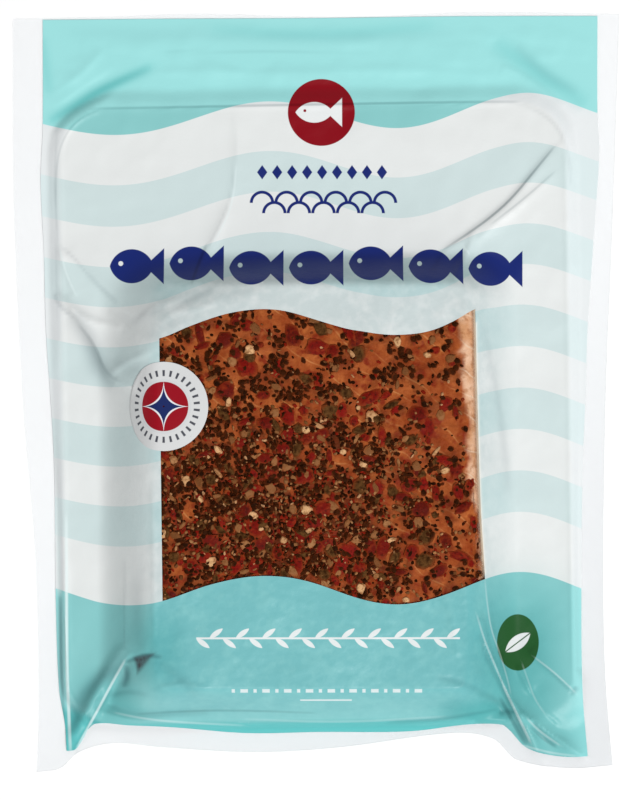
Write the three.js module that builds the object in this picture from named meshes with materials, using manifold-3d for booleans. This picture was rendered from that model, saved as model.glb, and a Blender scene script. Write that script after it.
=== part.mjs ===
// Hot smoked salmon fillet with a spice crust, sealed in a printed vacuum pack.
// The pack lies on its back: +Z is up out of its printed front, +Y runs to its top edge,
// and the origin is on the surface it lies on, under the middle of the pack. Millimetres.
//
// pouch   the two sealed films drawn down round the fillet and its backing board, as one skin
//         that is open at the clear window
// fillet  the fish, with its coarser spices standing on it as relief

import * as THREE from "three";
import { mergeVertices } from "three/addons/utils/BufferGeometryUtils.js";
import Module from "manifold-3d";

// Driving dimensions.
const SEAL_THICKNESS = 0.6; // the two films where they are sealed together
const SKIN = 0.6; // the film over the fish
const GAP = 0.3; // left between the fish and the skin
const BOARD = {
  x: -0.4,
  y: -5.9,
  halfWidth: 71.6,
  halfHeight: 86.6,
  cornerRadius: 11,
  turn: THREE.MathUtils.degToRad(0.8),
  top: 2.2,
  edgeDrop: 2.5,
};
const FILLET = {
  x: 0.9,
  y: -26,
  halfWidth: 47.4,
  halfHeight: 61.5,
  cornerRadius: 9,
  underside: 2.1,
  topLeft: 18.6, // height of the film over the thick left side
  topRight: 15.6, // and over the thin right side
  crown: 0.9,
};
// How far the film's shoulder reaches inside the edge of the fish, and its foot outside it.
const SHOULDER = {
  left: { inside: 5.5, outside: 11 },
  right: { inside: 6.5, outside: 9 },
  top: { inside: 5.7, outside: 4.6 },
  bottom: { inside: 5, outside: 6.5 },
};
const STRETCH = { height: 1.5, reach: 24 }; // the film's long low slope beyond the foot

// The pack's outline: each side is a curve through a few points.
const SIDES = {
  left: [[-106.5, -78.4], [-86, -77.8], [-47, -78.7], [-2, -82.3], [54, -84.8], [105, -85.1]],
  right: [[-104.6, 83.2], [-80, 81.2], [-50, 80.6], [0, 81.3], [48, 83.2], [106, 85.1]],
  top: [[-85.1, 104.9], [-60, 105.4], [-32, 106.3], [1, 105.4], [23, 105.8], [43, 106.8], [85.1, 106.3]],
  bottom: [
    [-78.4, -106.5], [-71.7, -105.4], [-66.6, -100.9], [-57, -98.4], [-43.7, -99.5], [-17, -100.9],
    [7, -99.5], [39, -95.5], [50, -97.3], [56, -102.9], [71, -105.4], [83.2, -104.6],
  ],
};

// The window is cut along the pack's printed waves. Its sides are nearly straight.
const WAVE = { amplitude: 4.2, rise: 0.0255, startX: -55.4, turns: 0.02233, tightening: 3.92e-5 };
const WINDOW = {
  top: 18.9,
  bottom: -55.5,
  left: [[-60, -42.8], [20, -43.8]],
  right: [[-60, 47.6], [-50, 47.2], [-30, 46], [0, 45.1], [25, 44.5]],
};

// The main folds of the film: ridges where it is stretched, valleys where the height is negative.
const FOLDS = [
  { height: 2.2, width: 3.6, path: [[66.4, 68.7], [59, 59.2], [51.5, 51.5], [44.5, 45.2], [35, 38.5]] },
  { height: 0.8, width: 3.4, path: [[-22.1, 68], [-24.6, 59.5], [-28.3, 45.5], [-31, 40]] },
  { height: 1.6, width: 3.4, path: [[-72, 21], [-65, 17.5], [-61.5, 9.5], [-57.5, 3.5], [-50, 1.5]] },
  { height: 1.2, width: 3.4, path: [[-71.7, 41.3], [-64.7, 33.7], [-59.1, 28.7], [-51, 23]] },
  { height: 3.6, width: 4.2, path: [[-50.5, -71.5], [-57.5, -82.5], [-66.2, -98.5]] },
  { height: -1.2, width: 3.4, path: [[-60.5, -76], [-66.5, -86], [-70, -94]] },
  { height: 3.2, width: 3.8, path: [[46.8, -64], [52.1, -79.1], [55.5, -87], [60.8, -97.5]] },
  { height: 1.8, width: 3, path: [[59, -74], [64, -85], [67, -94]] },
  { height: -0.5, width: 4, path: [[-75, 77], [-63.3, 83.3], [-47.9, 91.4]] },
  { height: -0.5, width: 4, path: [[54.3, 96], [64.1, 90.3], [75.3, 82]] },
];

// The spices large enough to stand out as relief, largest first: red pepper flakes, which are
// thin plates, then garlic granules and cracked peppercorns. Sizes are half widths.
const SPICES = [
  { count: 26, longest: 3.1, shortest: 2.1, thickness: 1.1, sides: 6 },
  { count: 26, longest: 1.7, shortest: 1.2, thickness: 0.8, sides: 0 },
  { count: 52, longest: 1.35, shortest: 1.0, thickness: 0.75, sides: 0 },
];
const SPICE_SEED = 4127;
const SPICE_CLEARANCE = 0.9;
const WINDOW_CLEARANCE = 3.4;

// The grid that the pack's front is built on: how many strips lie between its guide lines.
const COLUMN_STRIPS = [2, 1, 4, 7, 15, 6, 4, 1, 2];
const ROW_STRIPS = [3, 6, 5, 14, 2, 5, 9, 1, 5];
const PIT_FLOOR = 6; // the window's cut goes down to here, inside the hollow for the fish

// The fish and its hollow are built on rings that run inwards from its edge.
const RING_INSETS = [0, 1.5, 3, 5, 8, 12, 17, 23, 30, 38, 43.5];
const RING_POINTS = { corner: 4, longSide: 16, shortSide: 12 };
const SMALLEST_CORNER = 2.5;

const wasm = await Module();
wasm.setup();

const { clamp, lerp, smoothstep } = THREE.MathUtils;

// A smooth curve through [position, value] pairs, level with its neighbours' chord at each pair.
function curveThrough(pairs) {
  const slopeAt = (i) => {
    const before = pairs[Math.max(i - 1, 0)];
    const after = pairs[Math.min(i + 1, pairs.length - 1)];
    return (after[1] - before[1]) / (after[0] - before[0]);
  };
  return (position) => {
    const p = clamp(position, pairs[0][0], pairs.at(-1)[0]);
    let i = 0;
    while (i < pairs.length - 2 && p > pairs[i + 1][0]) i += 1;
    const span = pairs[i + 1][0] - pairs[i][0];
    const t = (p - pairs[i][0]) / span;
    const cubic = t * t * (3 - 2 * t);
    const leaving = slopeAt(i) * span * t * (1 - t) * (1 - t);
    const arriving = slopeAt(i + 1) * span * t * t * (t - 1);
    return lerp(pairs[i][1], pairs[i + 1][1], cubic) + leaving + arriving;
  };
}

// The printed wave that gives the window its top and bottom edge.
function waveY(level, x) {
  const along = x - WAVE.startX;
  const phase = Math.PI * (1 + WAVE.turns * along + WAVE.tightening * along * along);
  return level + WAVE.rise * x + WAVE.amplitude * Math.cos(phase);
}

// Distance outside a rounded rectangle (negative inside), and the way straight out of it.
function roundedBox(x, y, box) {
  const turn = box.turn ?? 0;
  const dx = (x - box.x) * Math.cos(turn) + (y - box.y) * Math.sin(turn);
  const dy = (y - box.y) * Math.cos(turn) - (x - box.x) * Math.sin(turn);
  const qx = Math.abs(dx) - box.halfWidth + box.cornerRadius;
  const qy = Math.abs(dy) - box.halfHeight + box.cornerRadius;
  const outX = Math.max(qx, 0);
  const outY = Math.max(qy, 0);
  const length = Math.hypot(outX, outY);
  const distance = length + Math.min(Math.max(qx, qy), 0) - box.cornerRadius;
  const even = Math.SQRT1_2;
  return {
    distance,
    outX: (length > 0 ? outX / length : even) * Math.sign(dx),
    outY: (length > 0 ? outY / length : even) * Math.sign(dy),
  };
}

// Distance to a fold's path, and how far along the path the nearest point lies, from 0 to 1.
function alongPath(x, y, path) {
  let nearest = { distance: Infinity, share: 0 };
  for (let i = 0; i < path.length - 1; i += 1) {
    const [ax, ay] = path[i];
    const [bx, by] = path[i + 1];
    const lengthSquared = (bx - ax) ** 2 + (by - ay) ** 2;
    const t = clamp(((x - ax) * (bx - ax) + (y - ay) * (by - ay)) / lengthSquared, 0, 1);
    const distance = Math.hypot(x - lerp(ax, bx, t), y - lerp(ay, by, t));
    if (distance < nearest.distance) nearest = { distance, share: (i + t) / (path.length - 1) };
  }
  return nearest;
}

// How much of the fish's height the film has at a point: 1 on top of it, 0 beyond the foot.
function shoulderShare(x, y) {
  const edge = roundedBox(x, y, FILLET);
  const sideways = edge.outX < 0 ? SHOULDER.left : SHOULDER.right;
  const lengthways = edge.outY < 0 ? SHOULDER.bottom : SHOULDER.top;
  const inside = lerp(lengthways.inside, sideways.inside, edge.outX ** 2);
  const outside = lerp(lengthways.outside, sideways.outside, edge.outX ** 2);
  const t = clamp((edge.distance + inside) / (inside + outside), 0, 1);
  return (1 - t ** 1.6) ** 2.2;
}

// The film over the fish: thicker at the left, a little crowned, and uneven as the crust is.
function overFish(x, y) {
  const across = clamp((x - FILLET.x) / FILLET.halfWidth, -1, 1);
  const along = clamp((y - FILLET.y) / FILLET.halfHeight, -1, 1);
  const slope = lerp(FILLET.topLeft, FILLET.topRight, 0.5 + across / 2);
  const crown = FILLET.crown * (1 - across ** 2) * (1 - along ** 2);
  const uneven = 0.28 * Math.sin(x / 5.1 + 1.3) * Math.cos(y / 6.3) + 0.2 * Math.sin((x + 1.6 * y) / 9);
  return slope + crown + uneven;
}

// Height of the outside of the film anywhere on the pack.
function filmHeight(x, y) {
  const beyondBoard = roundedBox(x, y, BOARD).distance;
  const onBoard = 1 - smoothstep(beyondBoard, 0, BOARD.edgeDrop);
  const beyondFish = roundedBox(x, y, FILLET).distance;
  const stretch = STRETCH.height * (1 - clamp(beyondFish / STRETCH.reach, 0, 1)) ** 2;
  const share = shoulderShare(x, y);
  const flat = lerp(SEAL_THICKNESS, BOARD.top, onBoard) + stretch * onBoard * (1 - share);
  let height = lerp(flat, overFish(x, y), share);
  for (const fold of FOLDS) {
    const { distance, share: place } = alongPath(x, y, fold.path);
    const taper = Math.sqrt(Math.sin(Math.PI * clamp(place, 0.02, 0.98)));
    height += fold.height * taper * Math.exp(-((distance / fold.width) ** 2));
  }
  return Math.max(height, SEAL_THICKNESS);
}

// Height of a surface that lies a given depth under the film, measured square to the film.
function underFilm(x, y, depth) {
  const step = 0.5;
  const slopeX = (filmHeight(x + step, y) - filmHeight(x - step, y)) / (2 * step);
  const slopeY = (filmHeight(x, y + step) - filmHeight(x, y - step)) / (2 * step);
  return filmHeight(x, y) - depth * Math.sqrt(1 + slopeX ** 2 + slopeY ** 2);
}

// A three.js geometry as a manifold solid, and back.
function solidOf(geometry) {
  geometry.deleteAttribute("normal");
  geometry.deleteAttribute("uv");
  const merged = mergeVertices(geometry, 1e-5);
  const mesh = new wasm.Mesh({
    numProp: 3,
    vertProperties: new Float32Array(merged.attributes.position.array),
    triVerts: new Uint32Array(merged.index.array),
  });
  return new wasm.Manifold(mesh);
}

function geometryOf(solid) {
  const { vertProperties, triVerts, numProp } = solid.getMesh();
  const vertices = vertProperties.length / numProp;
  const positions = new Float32Array(vertices * 3);
  for (let i = 0; i < vertices; i += 1) {
    positions.set(vertProperties.subarray(i * numProp, i * numProp + 3), i * 3);
  }
  const geometry = new THREE.BufferGeometry();
  geometry.setAttribute("position", new THREE.BufferAttribute(positions, 3));
  geometry.setIndex(new THREE.BufferAttribute(triVerts, 1));
  return geometry;
}

function bufferOf(points, triangles) {
  const geometry = new THREE.BufferGeometry();
  geometry.setAttribute("position", new THREE.Float32BufferAttribute(points.flat(), 3));
  geometry.setIndex(triangles.flat());
  return geometry;
}

// Guide lines of the grid: from left to right as x at a given y, and from bottom to top as y at
// a given x. The strips between two of them are spaced evenly.
const leftSide = curveThrough(SIDES.left);
const rightSide = curveThrough(SIDES.right);
const topSide = curveThrough(SIDES.top);
const bottomSide = curveThrough(SIDES.bottom);
const windowLeft = curveThrough(WINDOW.left);
const windowRight = curveThrough(WINDOW.right);
const boardSide = (way) => (y) => BOARD.x + way * BOARD.halfWidth - BOARD.turn * (y - BOARD.y);
const boardTop = (x) => BOARD.y + BOARD.halfHeight + BOARD.turn * (x - BOARD.x);

const COLUMN_GUIDES = [
  leftSide,
  (y) => boardSide(-1)(y) - BOARD.edgeDrop,
  boardSide(-1),
  () => FILLET.x - FILLET.halfWidth - SHOULDER.left.outside,
  windowLeft,
  windowRight,
  () => FILLET.x + FILLET.halfWidth + SHOULDER.right.outside,
  boardSide(1),
  (y) => boardSide(1)(y) + BOARD.edgeDrop,
  rightSide,
];
const ROW_GUIDES = [
  bottomSide,
  () => FILLET.y - FILLET.halfHeight - SHOULDER.bottom.outside,
  () => FILLET.y - FILLET.halfHeight + SHOULDER.bottom.inside,
  (x) => waveY(WINDOW.bottom, x),
  (x) => waveY(WINDOW.top, x),
  () => FILLET.y + FILLET.halfHeight - SHOULDER.top.inside,
  () => FILLET.y + FILLET.halfHeight + SHOULDER.top.outside,
  boardTop,
  (x) => boardTop(x) + BOARD.edgeDrop,
  topSide,
];

// Every grid line in turn: the strip it opens and how far across that strip it lies.
function gridLines(guides, strips) {
  const lines = strips.flatMap((count, strip) =>
    Array.from({ length: count }, (_, step) => (at) =>
      lerp(guides[strip](at), guides[strip + 1](at), step / count)),
  );
  return [...lines, guides.at(-1)];
}

const columns = gridLines(COLUMN_GUIDES, COLUMN_STRIPS);
const rows = gridLines(ROW_GUIDES, ROW_STRIPS);

// Where a column and a row cross: each is known only at a place on the other.
function crossing(column, row) {
  let x = column(0);
  let y = row(x);
  for (let pass = 0; pass < 8; pass += 1) {
    x = column(y);
    y = row(x);
  }
  return [x, y];
}

// The films: the front over the whole grid but the window, a flat back, and a pit at the window.
function pouchWithPit() {
  const sum = (counts) => counts.reduce((total, count) => total + count, 0);
  const pitColumns = [sum(COLUMN_STRIPS.slice(0, 4)), sum(COLUMN_STRIPS.slice(0, 5))];
  const pitRows = [sum(ROW_STRIPS.slice(0, 3)), sum(ROW_STRIPS.slice(0, 4))];
  const points = [];
  const triangles = [];
  const front = columns.map((column) =>
    rows.map((row) => {
      const [x, y] = crossing(column, row);
      points.push([x, y, filmHeight(x, y)]);
      return points.length - 1;
    }),
  );
  const inPit = (i, j) =>
    i >= pitColumns[0] && i < pitColumns[1] && j >= pitRows[0] && j < pitRows[1];
  for (let i = 0; i < columns.length - 1; i += 1) {
    for (let j = 0; j < rows.length - 1; j += 1) {
      if (inPit(i, j)) continue;
      const [a, b, c, d] = [front[i][j], front[i + 1][j], front[i + 1][j + 1], front[i][j + 1]];
      if ((i + j) % 2) triangles.push([a, b, c], [a, c, d]);
      else triangles.push([a, b, d], [b, c, d]);
    }
  }
  const wholeRing = borderOf(front, [0, columns.length - 1], [0, rows.length - 1]);
  addWallAndFloor(points, triangles, wholeRing, 0, true);
  addWallAndFloor(points, triangles, borderOf(front, pitColumns, pitRows), PIT_FLOOR, false);
  return solidOf(bufferOf(points, triangles));
}

// The vertices round a block of the grid, anticlockwise seen from above.
function borderOf(front, [left, right], [bottom, top]) {
  const border = [];
  for (let i = left; i < right; i += 1) border.push(front[i][bottom]);
  for (let j = bottom; j < top; j += 1) border.push(front[right][j]);
  for (let i = right; i > left; i -= 1) border.push(front[i][top]);
  for (let j = top; j > bottom; j -= 1) border.push(front[left][j]);
  return border;
}

// A wall straight down from an anticlockwise ring of vertices, and a flat floor at its foot. The
// wall of a body faces outwards and its floor down; the wall of a pit faces in and its floor up.
function addWallAndFloor(points, triangles, ring, floor, isBody) {
  const first = points.length;
  for (const vertex of ring) points.push([points[vertex][0], points[vertex][1], floor]);
  const turn = (a, b, c) => triangles.push(isBody ? [a, b, c] : [a, c, b]);
  ring.forEach((above, i) => {
    const next = (i + 1) % ring.length;
    turn(above, first + i, first + next);
    turn(above, first + next, ring[next]);
  });
  const outline = ring.map((vertex) => new THREE.Vector2(points[vertex][0], points[vertex][1]));
  for (const [a, b, c] of THREE.ShapeUtils.triangulateShape(outline, [])) {
    triangles.push(isBody ? [first + a, first + c, first + b] : [first + a, first + b, first + c]);
  }
}

// One ring of points round the fish, anticlockwise, at an inset from its edge.
function ringAround(box, inset) {
  const halfWidth = box.halfWidth - inset;
  const halfHeight = box.halfHeight - inset;
  const radius = Math.min(Math.max(box.cornerRadius - inset, SMALLEST_CORNER), halfWidth * 0.9);
  const ring = [];
  for (let quarter = 0; quarter < 4; quarter += 1) {
    const onTheSide = quarter % 2 === 0 ? RING_POINTS.shortSide : RING_POINTS.longSide;
    const signX = quarter === 0 || quarter === 3 ? 1 : -1;
    const signY = quarter < 2 ? 1 : -1;
    for (let step = 0; step <= RING_POINTS.corner; step += 1) {
      const angle = (Math.PI / 2) * (quarter + step / RING_POINTS.corner);
      ring.push([
        box.x + signX * (halfWidth - radius) + radius * Math.cos(angle),
        box.y + signY * (halfHeight - radius) + radius * Math.sin(angle),
      ]);
    }
    const [fromX, fromY] = ring.at(-1);
    const along = quarter % 2 === 0 ? 2 * (halfWidth - radius) : 2 * (halfHeight - radius);
    const [wayX, wayY] = [[-1, 0], [0, -1], [1, 0], [0, 1]][quarter];
    for (let step = 1; step < onTheSide; step += 1) {
      const reach = (along * step) / onTheSide;
      ring.push([fromX + wayX * reach, fromY + wayY * reach]);
    }
  }
  return ring;
}

// A body of the fish's outline: flat underneath, its top at a depth under the film.
function fishBody(depth, grow, underside) {
  const box = { ...FILLET, halfWidth: FILLET.halfWidth + grow, halfHeight: FILLET.halfHeight + grow };
  const points = [];
  const triangles = [];
  const rings = RING_INSETS.map((inset) =>
    ringAround(box, inset).map(([x, y]) => {
      points.push([x, y, underFilm(x, y, depth)]);
      return points.length - 1;
    }),
  );
  for (let k = 0; k < rings.length - 1; k += 1) {
    rings[k].forEach((outer, i) => {
      const next = (i + 1) % rings[k].length;
      triangles.push([outer, rings[k][next], rings[k + 1][next]]);
      triangles.push([outer, rings[k + 1][next], rings[k + 1][i]]);
    });
  }
  const innermost = rings.at(-1);
  const outline = innermost.map((vertex) => new THREE.Vector2(points[vertex][0], points[vertex][1]));
  for (const corners of THREE.ShapeUtils.triangulateShape(outline, [])) {
    triangles.push(corners.map((corner) => innermost[corner]));
  }
  addWallAndFloor(points, triangles, rings[0], underside, true);
  return solidOf(bufferOf(points, triangles));
}

// A repeatable stream of numbers from 0 to 1.
function randomStream(seed) {
  let state = seed;
  return () => {
    state = (state + 0x6d2b79f5) | 0;
    let mixed = Math.imul(state ^ (state >>> 15), 1 | state);
    mixed = (mixed + Math.imul(mixed ^ (mixed >>> 7), 61 | mixed)) ^ mixed;
    return ((mixed ^ (mixed >>> 14)) >>> 0) / 2 ** 32;
  };
}

// One spice at the origin: a flake is a many-sided plate, the others are uneven grains.
function spiceGeometry(spice, random) {
  const size = lerp(spice.shortest, spice.longest, random());
  const narrow = lerp(0.62, 0.95, random());
  const geometry = spice.sides
    ? new THREE.CylinderGeometry(1, 0.9, 1, spice.sides).rotateX(Math.PI / 2)
    : new THREE.IcosahedronGeometry(1, 0);
  geometry.deleteAttribute("normal");
  geometry.deleteAttribute("uv");
  const merged = mergeVertices(geometry, 1e-4);
  const position = merged.attributes.position;
  for (let i = 0; i < position.count; i += 1) {
    const swell = lerp(0.82, 1.1, random());
    position.setXYZ(i, position.getX(i) * swell, position.getY(i) * swell, position.getZ(i));
  }
  merged.scale(size, size * narrow, spice.thickness);
  merged.rotateX(lerp(-0.22, 0.22, random()));
  merged.rotateY(lerp(-0.22, 0.22, random()));
  merged.rotateZ(Math.PI * 2 * random());
  return merged;
}

// The coarse spices, scattered clear of one another over what the window shows.
function spicesOnFish(depth) {
  const random = randomStream(SPICE_SEED);
  const placed = [];
  const solids = [];
  for (const spice of SPICES) {
    let left = spice.count;
    for (let attempt = 0; left > 0 && attempt < 6000; attempt += 1) {
      const y = lerp(WINDOW.bottom - 4, WINDOW.top + 5, random());
      const x = lerp(windowLeft(y) + WINDOW_CLEARANCE, windowRight(y) - WINDOW_CLEARANCE - 2, random());
      const clearOfEdges =
        y < waveY(WINDOW.top, x) - WINDOW_CLEARANCE && y > waveY(WINDOW.bottom, x) + WINDOW_CLEARANCE;
      const apart = placed.every(
        (other) => Math.hypot(other.x - x, other.y - y) > other.reach + spice.longest + SPICE_CLEARANCE,
      );
      if (!clearOfEdges || !apart) continue;
      const geometry = spiceGeometry(spice, random);
      geometry.translate(x, y, underFilm(x, y, depth) + 0.2 * spice.thickness);
      solids.push(solidOf(geometry));
      placed.push({ x, y, reach: spice.longest });
      left -= 1;
    }
  }
  return solids;
}

function mesh(name, solid, finish) {
  const made = new THREE.Mesh(geometryOf(solid), new THREE.MeshStandardMaterial(finish));
  made.name = name;
  return made;
}

const hollow = fishBody(SKIN, GAP, FILLET.underside - GAP);
const pouch = pouchWithPit().subtract(hollow);
const fish = spicesOnFish(SKIN + GAP).reduce(
  (joined, spice) => joined.add(spice),
  fishBody(SKIN + GAP, 0, FILLET.underside),
);

const group = new THREE.Group();
group.add(
  mesh("pouch", pouch, { color: 0xa4dcdc, roughness: 0.35, metalness: 0 }),
  mesh("fillet", fish, { color: 0x8a4a26, roughness: 0.55, metalness: 0 }),
);

export default group;
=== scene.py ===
# Hot smoked salmon fillet with a spice crust, sealed flat in a printed vacuum pouch.
# The pack lies on its back. Sizes below are millimetres unless they say otherwise, with +X to
# the right and +Y to the top edge of the printed front, and become metres as a mesh is made.
import math

import bpy
import numpy as np
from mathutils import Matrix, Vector, noise


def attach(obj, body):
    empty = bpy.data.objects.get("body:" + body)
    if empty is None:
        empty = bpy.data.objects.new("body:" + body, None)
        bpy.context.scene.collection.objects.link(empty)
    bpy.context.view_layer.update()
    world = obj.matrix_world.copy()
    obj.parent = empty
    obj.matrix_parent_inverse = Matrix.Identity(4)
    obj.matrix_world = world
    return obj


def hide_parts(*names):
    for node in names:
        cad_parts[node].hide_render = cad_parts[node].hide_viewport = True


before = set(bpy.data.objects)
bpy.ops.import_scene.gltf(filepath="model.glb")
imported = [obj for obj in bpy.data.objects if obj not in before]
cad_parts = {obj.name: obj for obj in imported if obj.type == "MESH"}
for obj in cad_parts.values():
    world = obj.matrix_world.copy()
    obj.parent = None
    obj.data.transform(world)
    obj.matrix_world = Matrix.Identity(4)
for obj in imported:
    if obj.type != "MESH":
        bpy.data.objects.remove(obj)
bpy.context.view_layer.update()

MM = 0.001


# The fillet: one flat piece of hot smoked salmon, thick along its left side and thin along its
# right. The film is drawn down on it so tightly that the fish gives the film its form.
FILLET = {"x": 0.9, "y": -26, "half_width": 47.4, "half_height": 61.5, "corner": 9}
FISH_UNDERSIDE = 2.1
FILM_TOP = {"left": 18.6, "right": 15.6, "crown": 0.9}
SHOULDER_INSIDE = {"left": 2.5, "right": 6.5, "top": 5.7, "bottom": 5}
SHOULDER_OUTSIDE = {"left": 15, "right": 9, "top": 4.6, "bottom": 6.5}
SHOULDER_BULGE = {"left": 1.9, "elsewhere": 1.6}
CUT_CORNER = {"x": -46.5, "y": 21.7, "way_x": -0.463, "way_y": 0.886, "inside": 9, "outside": 22}
FLESH_BELOW_FILM = 0.6
THINNEST_FLESH = 0.6
FISH_STEPS = (150, 190)
WALL_TOP_EDGE = [
    (-60, 47.2), (-37.4, 45.4), (-28.1, 43.4), (-17.2, 42.4), (-5.7, 41.9), (1, 41.3), (9.4, 40.4),
    (23, 39.2),
]


def smooth_curve(pairs):
    """A smooth curve through (place, value) pairs, level with its neighbours' chord at each."""
    place, value = np.array(pairs, float).T
    before, after = np.r_[0, :len(place) - 1], np.r_[1:len(place), len(place) - 1]
    slope = (value[after] - value[before]) / (place[after] - place[before])

    def curve(at):
        at = np.clip(at, place[0], place[-1])
        i = np.clip(np.searchsorted(place, at) - 1, 0, len(place) - 2)
        span = place[i + 1] - place[i]
        t = (at - place[i]) / span
        eased = t * t * (3 - 2 * t)
        bend = slope[i] * span * t * (1 - t) ** 2 + slope[i + 1] * span * t * t * (t - 1)
        return value[i] * (1 - eased) + value[i + 1] * eased + bend

    return curve


def eased_step(value, start, end):
    t = np.clip((value - start) / (end - start), 0, 1)
    return t * t * (3 - 2 * t)


def rounded_box(x, y, box):
    """Distance outside a rounded rectangle, negative inside, and the way straight out of it."""
    turn = box.get("turn", 0)
    dx = (x - box["x"]) * math.cos(turn) + (y - box["y"]) * math.sin(turn)
    dy = (y - box["y"]) * math.cos(turn) - (x - box["x"]) * math.sin(turn)
    qx = np.abs(dx) - box["half_width"] + box["corner"]
    qy = np.abs(dy) - box["half_height"] + box["corner"]
    out_x, out_y = np.maximum(qx, 0), np.maximum(qy, 0)
    length = np.hypot(out_x, out_y)
    distance = length + np.minimum(np.maximum(qx, qy), 0) - box["corner"]
    safe = np.maximum(length, 1e-9)
    even = math.sqrt(0.5)
    way_x = np.where(length > 0, out_x / safe, even) * np.sign(dx)
    way_y = np.where(length > 0, out_y / safe, even) * np.sign(dy)
    return distance, way_x, way_y


def shoulder_share(x, y):
    """How much of the fish's height the film has: 1 on top of the fish, 0 beyond its foot.

    The fish's upper left corner is cut off at a slant, so the film comes down sooner there.
    """
    distance, way_x, way_y = rounded_box(x, y, FILLET)
    reach = []
    for sizes in (SHOULDER_INSIDE, SHOULDER_OUTSIDE):
        sideways = np.where(way_x < 0, sizes["left"], sizes["right"])
        lengthways = np.where(way_y < 0, sizes["bottom"], sizes["top"])
        reach.append(lengthways + (sideways - lengthways) * way_x ** 2)
    inside, outside = reach
    t = np.clip((distance + inside) / (inside + outside), 0, 1)
    bulge = np.where(way_x < 0, SHOULDER_BULGE["left"] - SHOULDER_BULGE["elsewhere"], 0) * way_x ** 2
    share = (1 - t ** (SHOULDER_BULGE["elsewhere"] + bulge)) ** 2.2
    from_cut_x, from_cut_y = x - CUT_CORNER["x"], y - CUT_CORNER["y"]
    beyond_cut = from_cut_x * CUT_CORNER["way_x"] + from_cut_y * CUT_CORNER["way_y"]
    return share * (1 - eased_step(beyond_cut, -CUT_CORNER["inside"], CUT_CORNER["outside"]))


def film_over_fish(x, y):
    """Height of the film on top of the fish, uneven as the crust under it is."""
    across = np.clip((x - FILLET["x"]) / FILLET["half_width"], -1, 1)
    along = np.clip((y - FILLET["y"]) / FILLET["half_height"], -1, 1)
    slope = FILM_TOP["left"] + (FILM_TOP["right"] - FILM_TOP["left"]) * (0.5 + across / 2)
    crown = FILM_TOP["crown"] * (1 - across ** 2) * (1 - along ** 2)
    uneven = 0.28 * np.sin(x / 5.1 + 1.3) * np.cos(y / 6.3) + 0.2 * np.sin((x + 1.6 * y) / 9)
    return slope + crown + uneven


def patches(x, y, size, seed, layers=2):
    """Soft random patches of about a size, from -1 to 1, the same on every run."""
    flat = [
        noise.fractal(Vector((px / size, py / size, seed)), 1.0, 2.0, layers)
        for px, py in zip(np.ravel(x).tolist(), np.ravel(y).tolist())
    ]
    return np.array(flat).reshape(np.shape(x))


SHARP_FROM = 62


def closed_shell(name, outer, inner, kept=None, marks=None):
    """A closed body between two grids of places: walls join them round the edge and each hole.

    kept says which cells of the grid there are, and marks are values to store at each crossing.
    """
    across, along = outer.shape[:2]
    kept = np.ones((across - 1, along - 1), bool) if kept is None else kept
    above = np.arange(across * along).reshape(across, along)
    below = above + above.size
    corner = {
        "a": (above[:-1, :-1], below[:-1, :-1]), "b": (above[1:, :-1], below[1:, :-1]),
        "c": (above[1:, 1:], below[1:, 1:]), "d": (above[:-1, 1:], below[:-1, 1:]),
    }
    top = np.stack([corner[k][0] for k in "abcd"], -1)[kept]
    faces = [top, top[:, ::-1] + above.size]
    ringed = np.pad(kept, 1)
    beyond = {
        "ab": ringed[1:-1, :-2], "bc": ringed[2:, 1:-1],
        "cd": ringed[1:-1, 2:], "da": ringed[:-2, 1:-1],
    }
    for (start, end), neighbour in beyond.items():
        edge = kept & ~neighbour
        wall = [corner[end][0], corner[start][0], corner[start][1], corner[end][1]]
        faces.append(np.stack(wall, -1)[edge])
    faces = np.concatenate(faces)
    used, faces = np.unique(faces, return_inverse=True)
    places = np.concatenate([outer.reshape(-1, 3), inner.reshape(-1, 3)])[used] * MM
    mesh = bpy.data.meshes.new(name)
    mesh.from_pydata(places.tolist(), [], faces.reshape(-1, 4).tolist())
    mesh.shade_smooth()
    mesh.set_sharp_from_angle(angle=math.radians(SHARP_FROM))
    for mark, values in (marks or {}).items():
        kind = "FLOAT_VECTOR" if values.ndim == 3 else "FLOAT"
        both = np.concatenate([values.reshape(above.size, -1)] * 2)[used]
        layer = mesh.attributes.new(mark, kind, "POINT")
        layer.data.foreach_set("vector" if kind == "FLOAT_VECTOR" else "value", both.ravel())
    made = bpy.data.objects.new(name, mesh)
    bpy.context.scene.collection.objects.link(made)
    return made


STUDIO_LIGHT = 1.13


def seen(red, green, blue):
    """A colour by its look in the studio's light, 0 to 255, as the shader's linear colour."""
    parts = [part / 255 for part in (red, green, blue)]
    linear = [p / 12.92 if p <= 0.04045 else ((p + 0.055) / 1.055) ** 2.4 for p in parts]
    return tuple(p / STUDIO_LIGHT for p in linear) + (1.0,)


class Measure:
    """A number that Math nodes work out at every point of a surface."""

    def __init__(self, tree, socket):
        self.tree, self.socket = tree, socket

    def worked(self, operation, *others):
        node = self.tree.nodes.new("ShaderNodeMath")
        node.operation = operation
        for slot, other in zip(node.inputs, (self, *others)):
            if isinstance(other, Measure):
                self.tree.links.new(other.socket, slot)
            else:
                slot.default_value = other
        return Measure(self.tree, node.outputs[0])

    def __add__(self, other):
        return self.worked("ADD", other)

    def __sub__(self, other):
        return self.worked("SUBTRACT", other)

    def __mul__(self, other):
        return self.worked("MULTIPLY", other)

    def __rsub__(self, other):
        return (self * -1) + other

    __radd__, __rmul__ = __add__, __mul__

    def least(self, other):
        return self.worked("MINIMUM", other)

    def most(self, other):
        return self.worked("MAXIMUM", other)

    def size(self):
        return self.worked("ABSOLUTE")

    def share(self):
        """The number held between 0 and 1."""
        return self.most(0.0).least(1.0)


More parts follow.
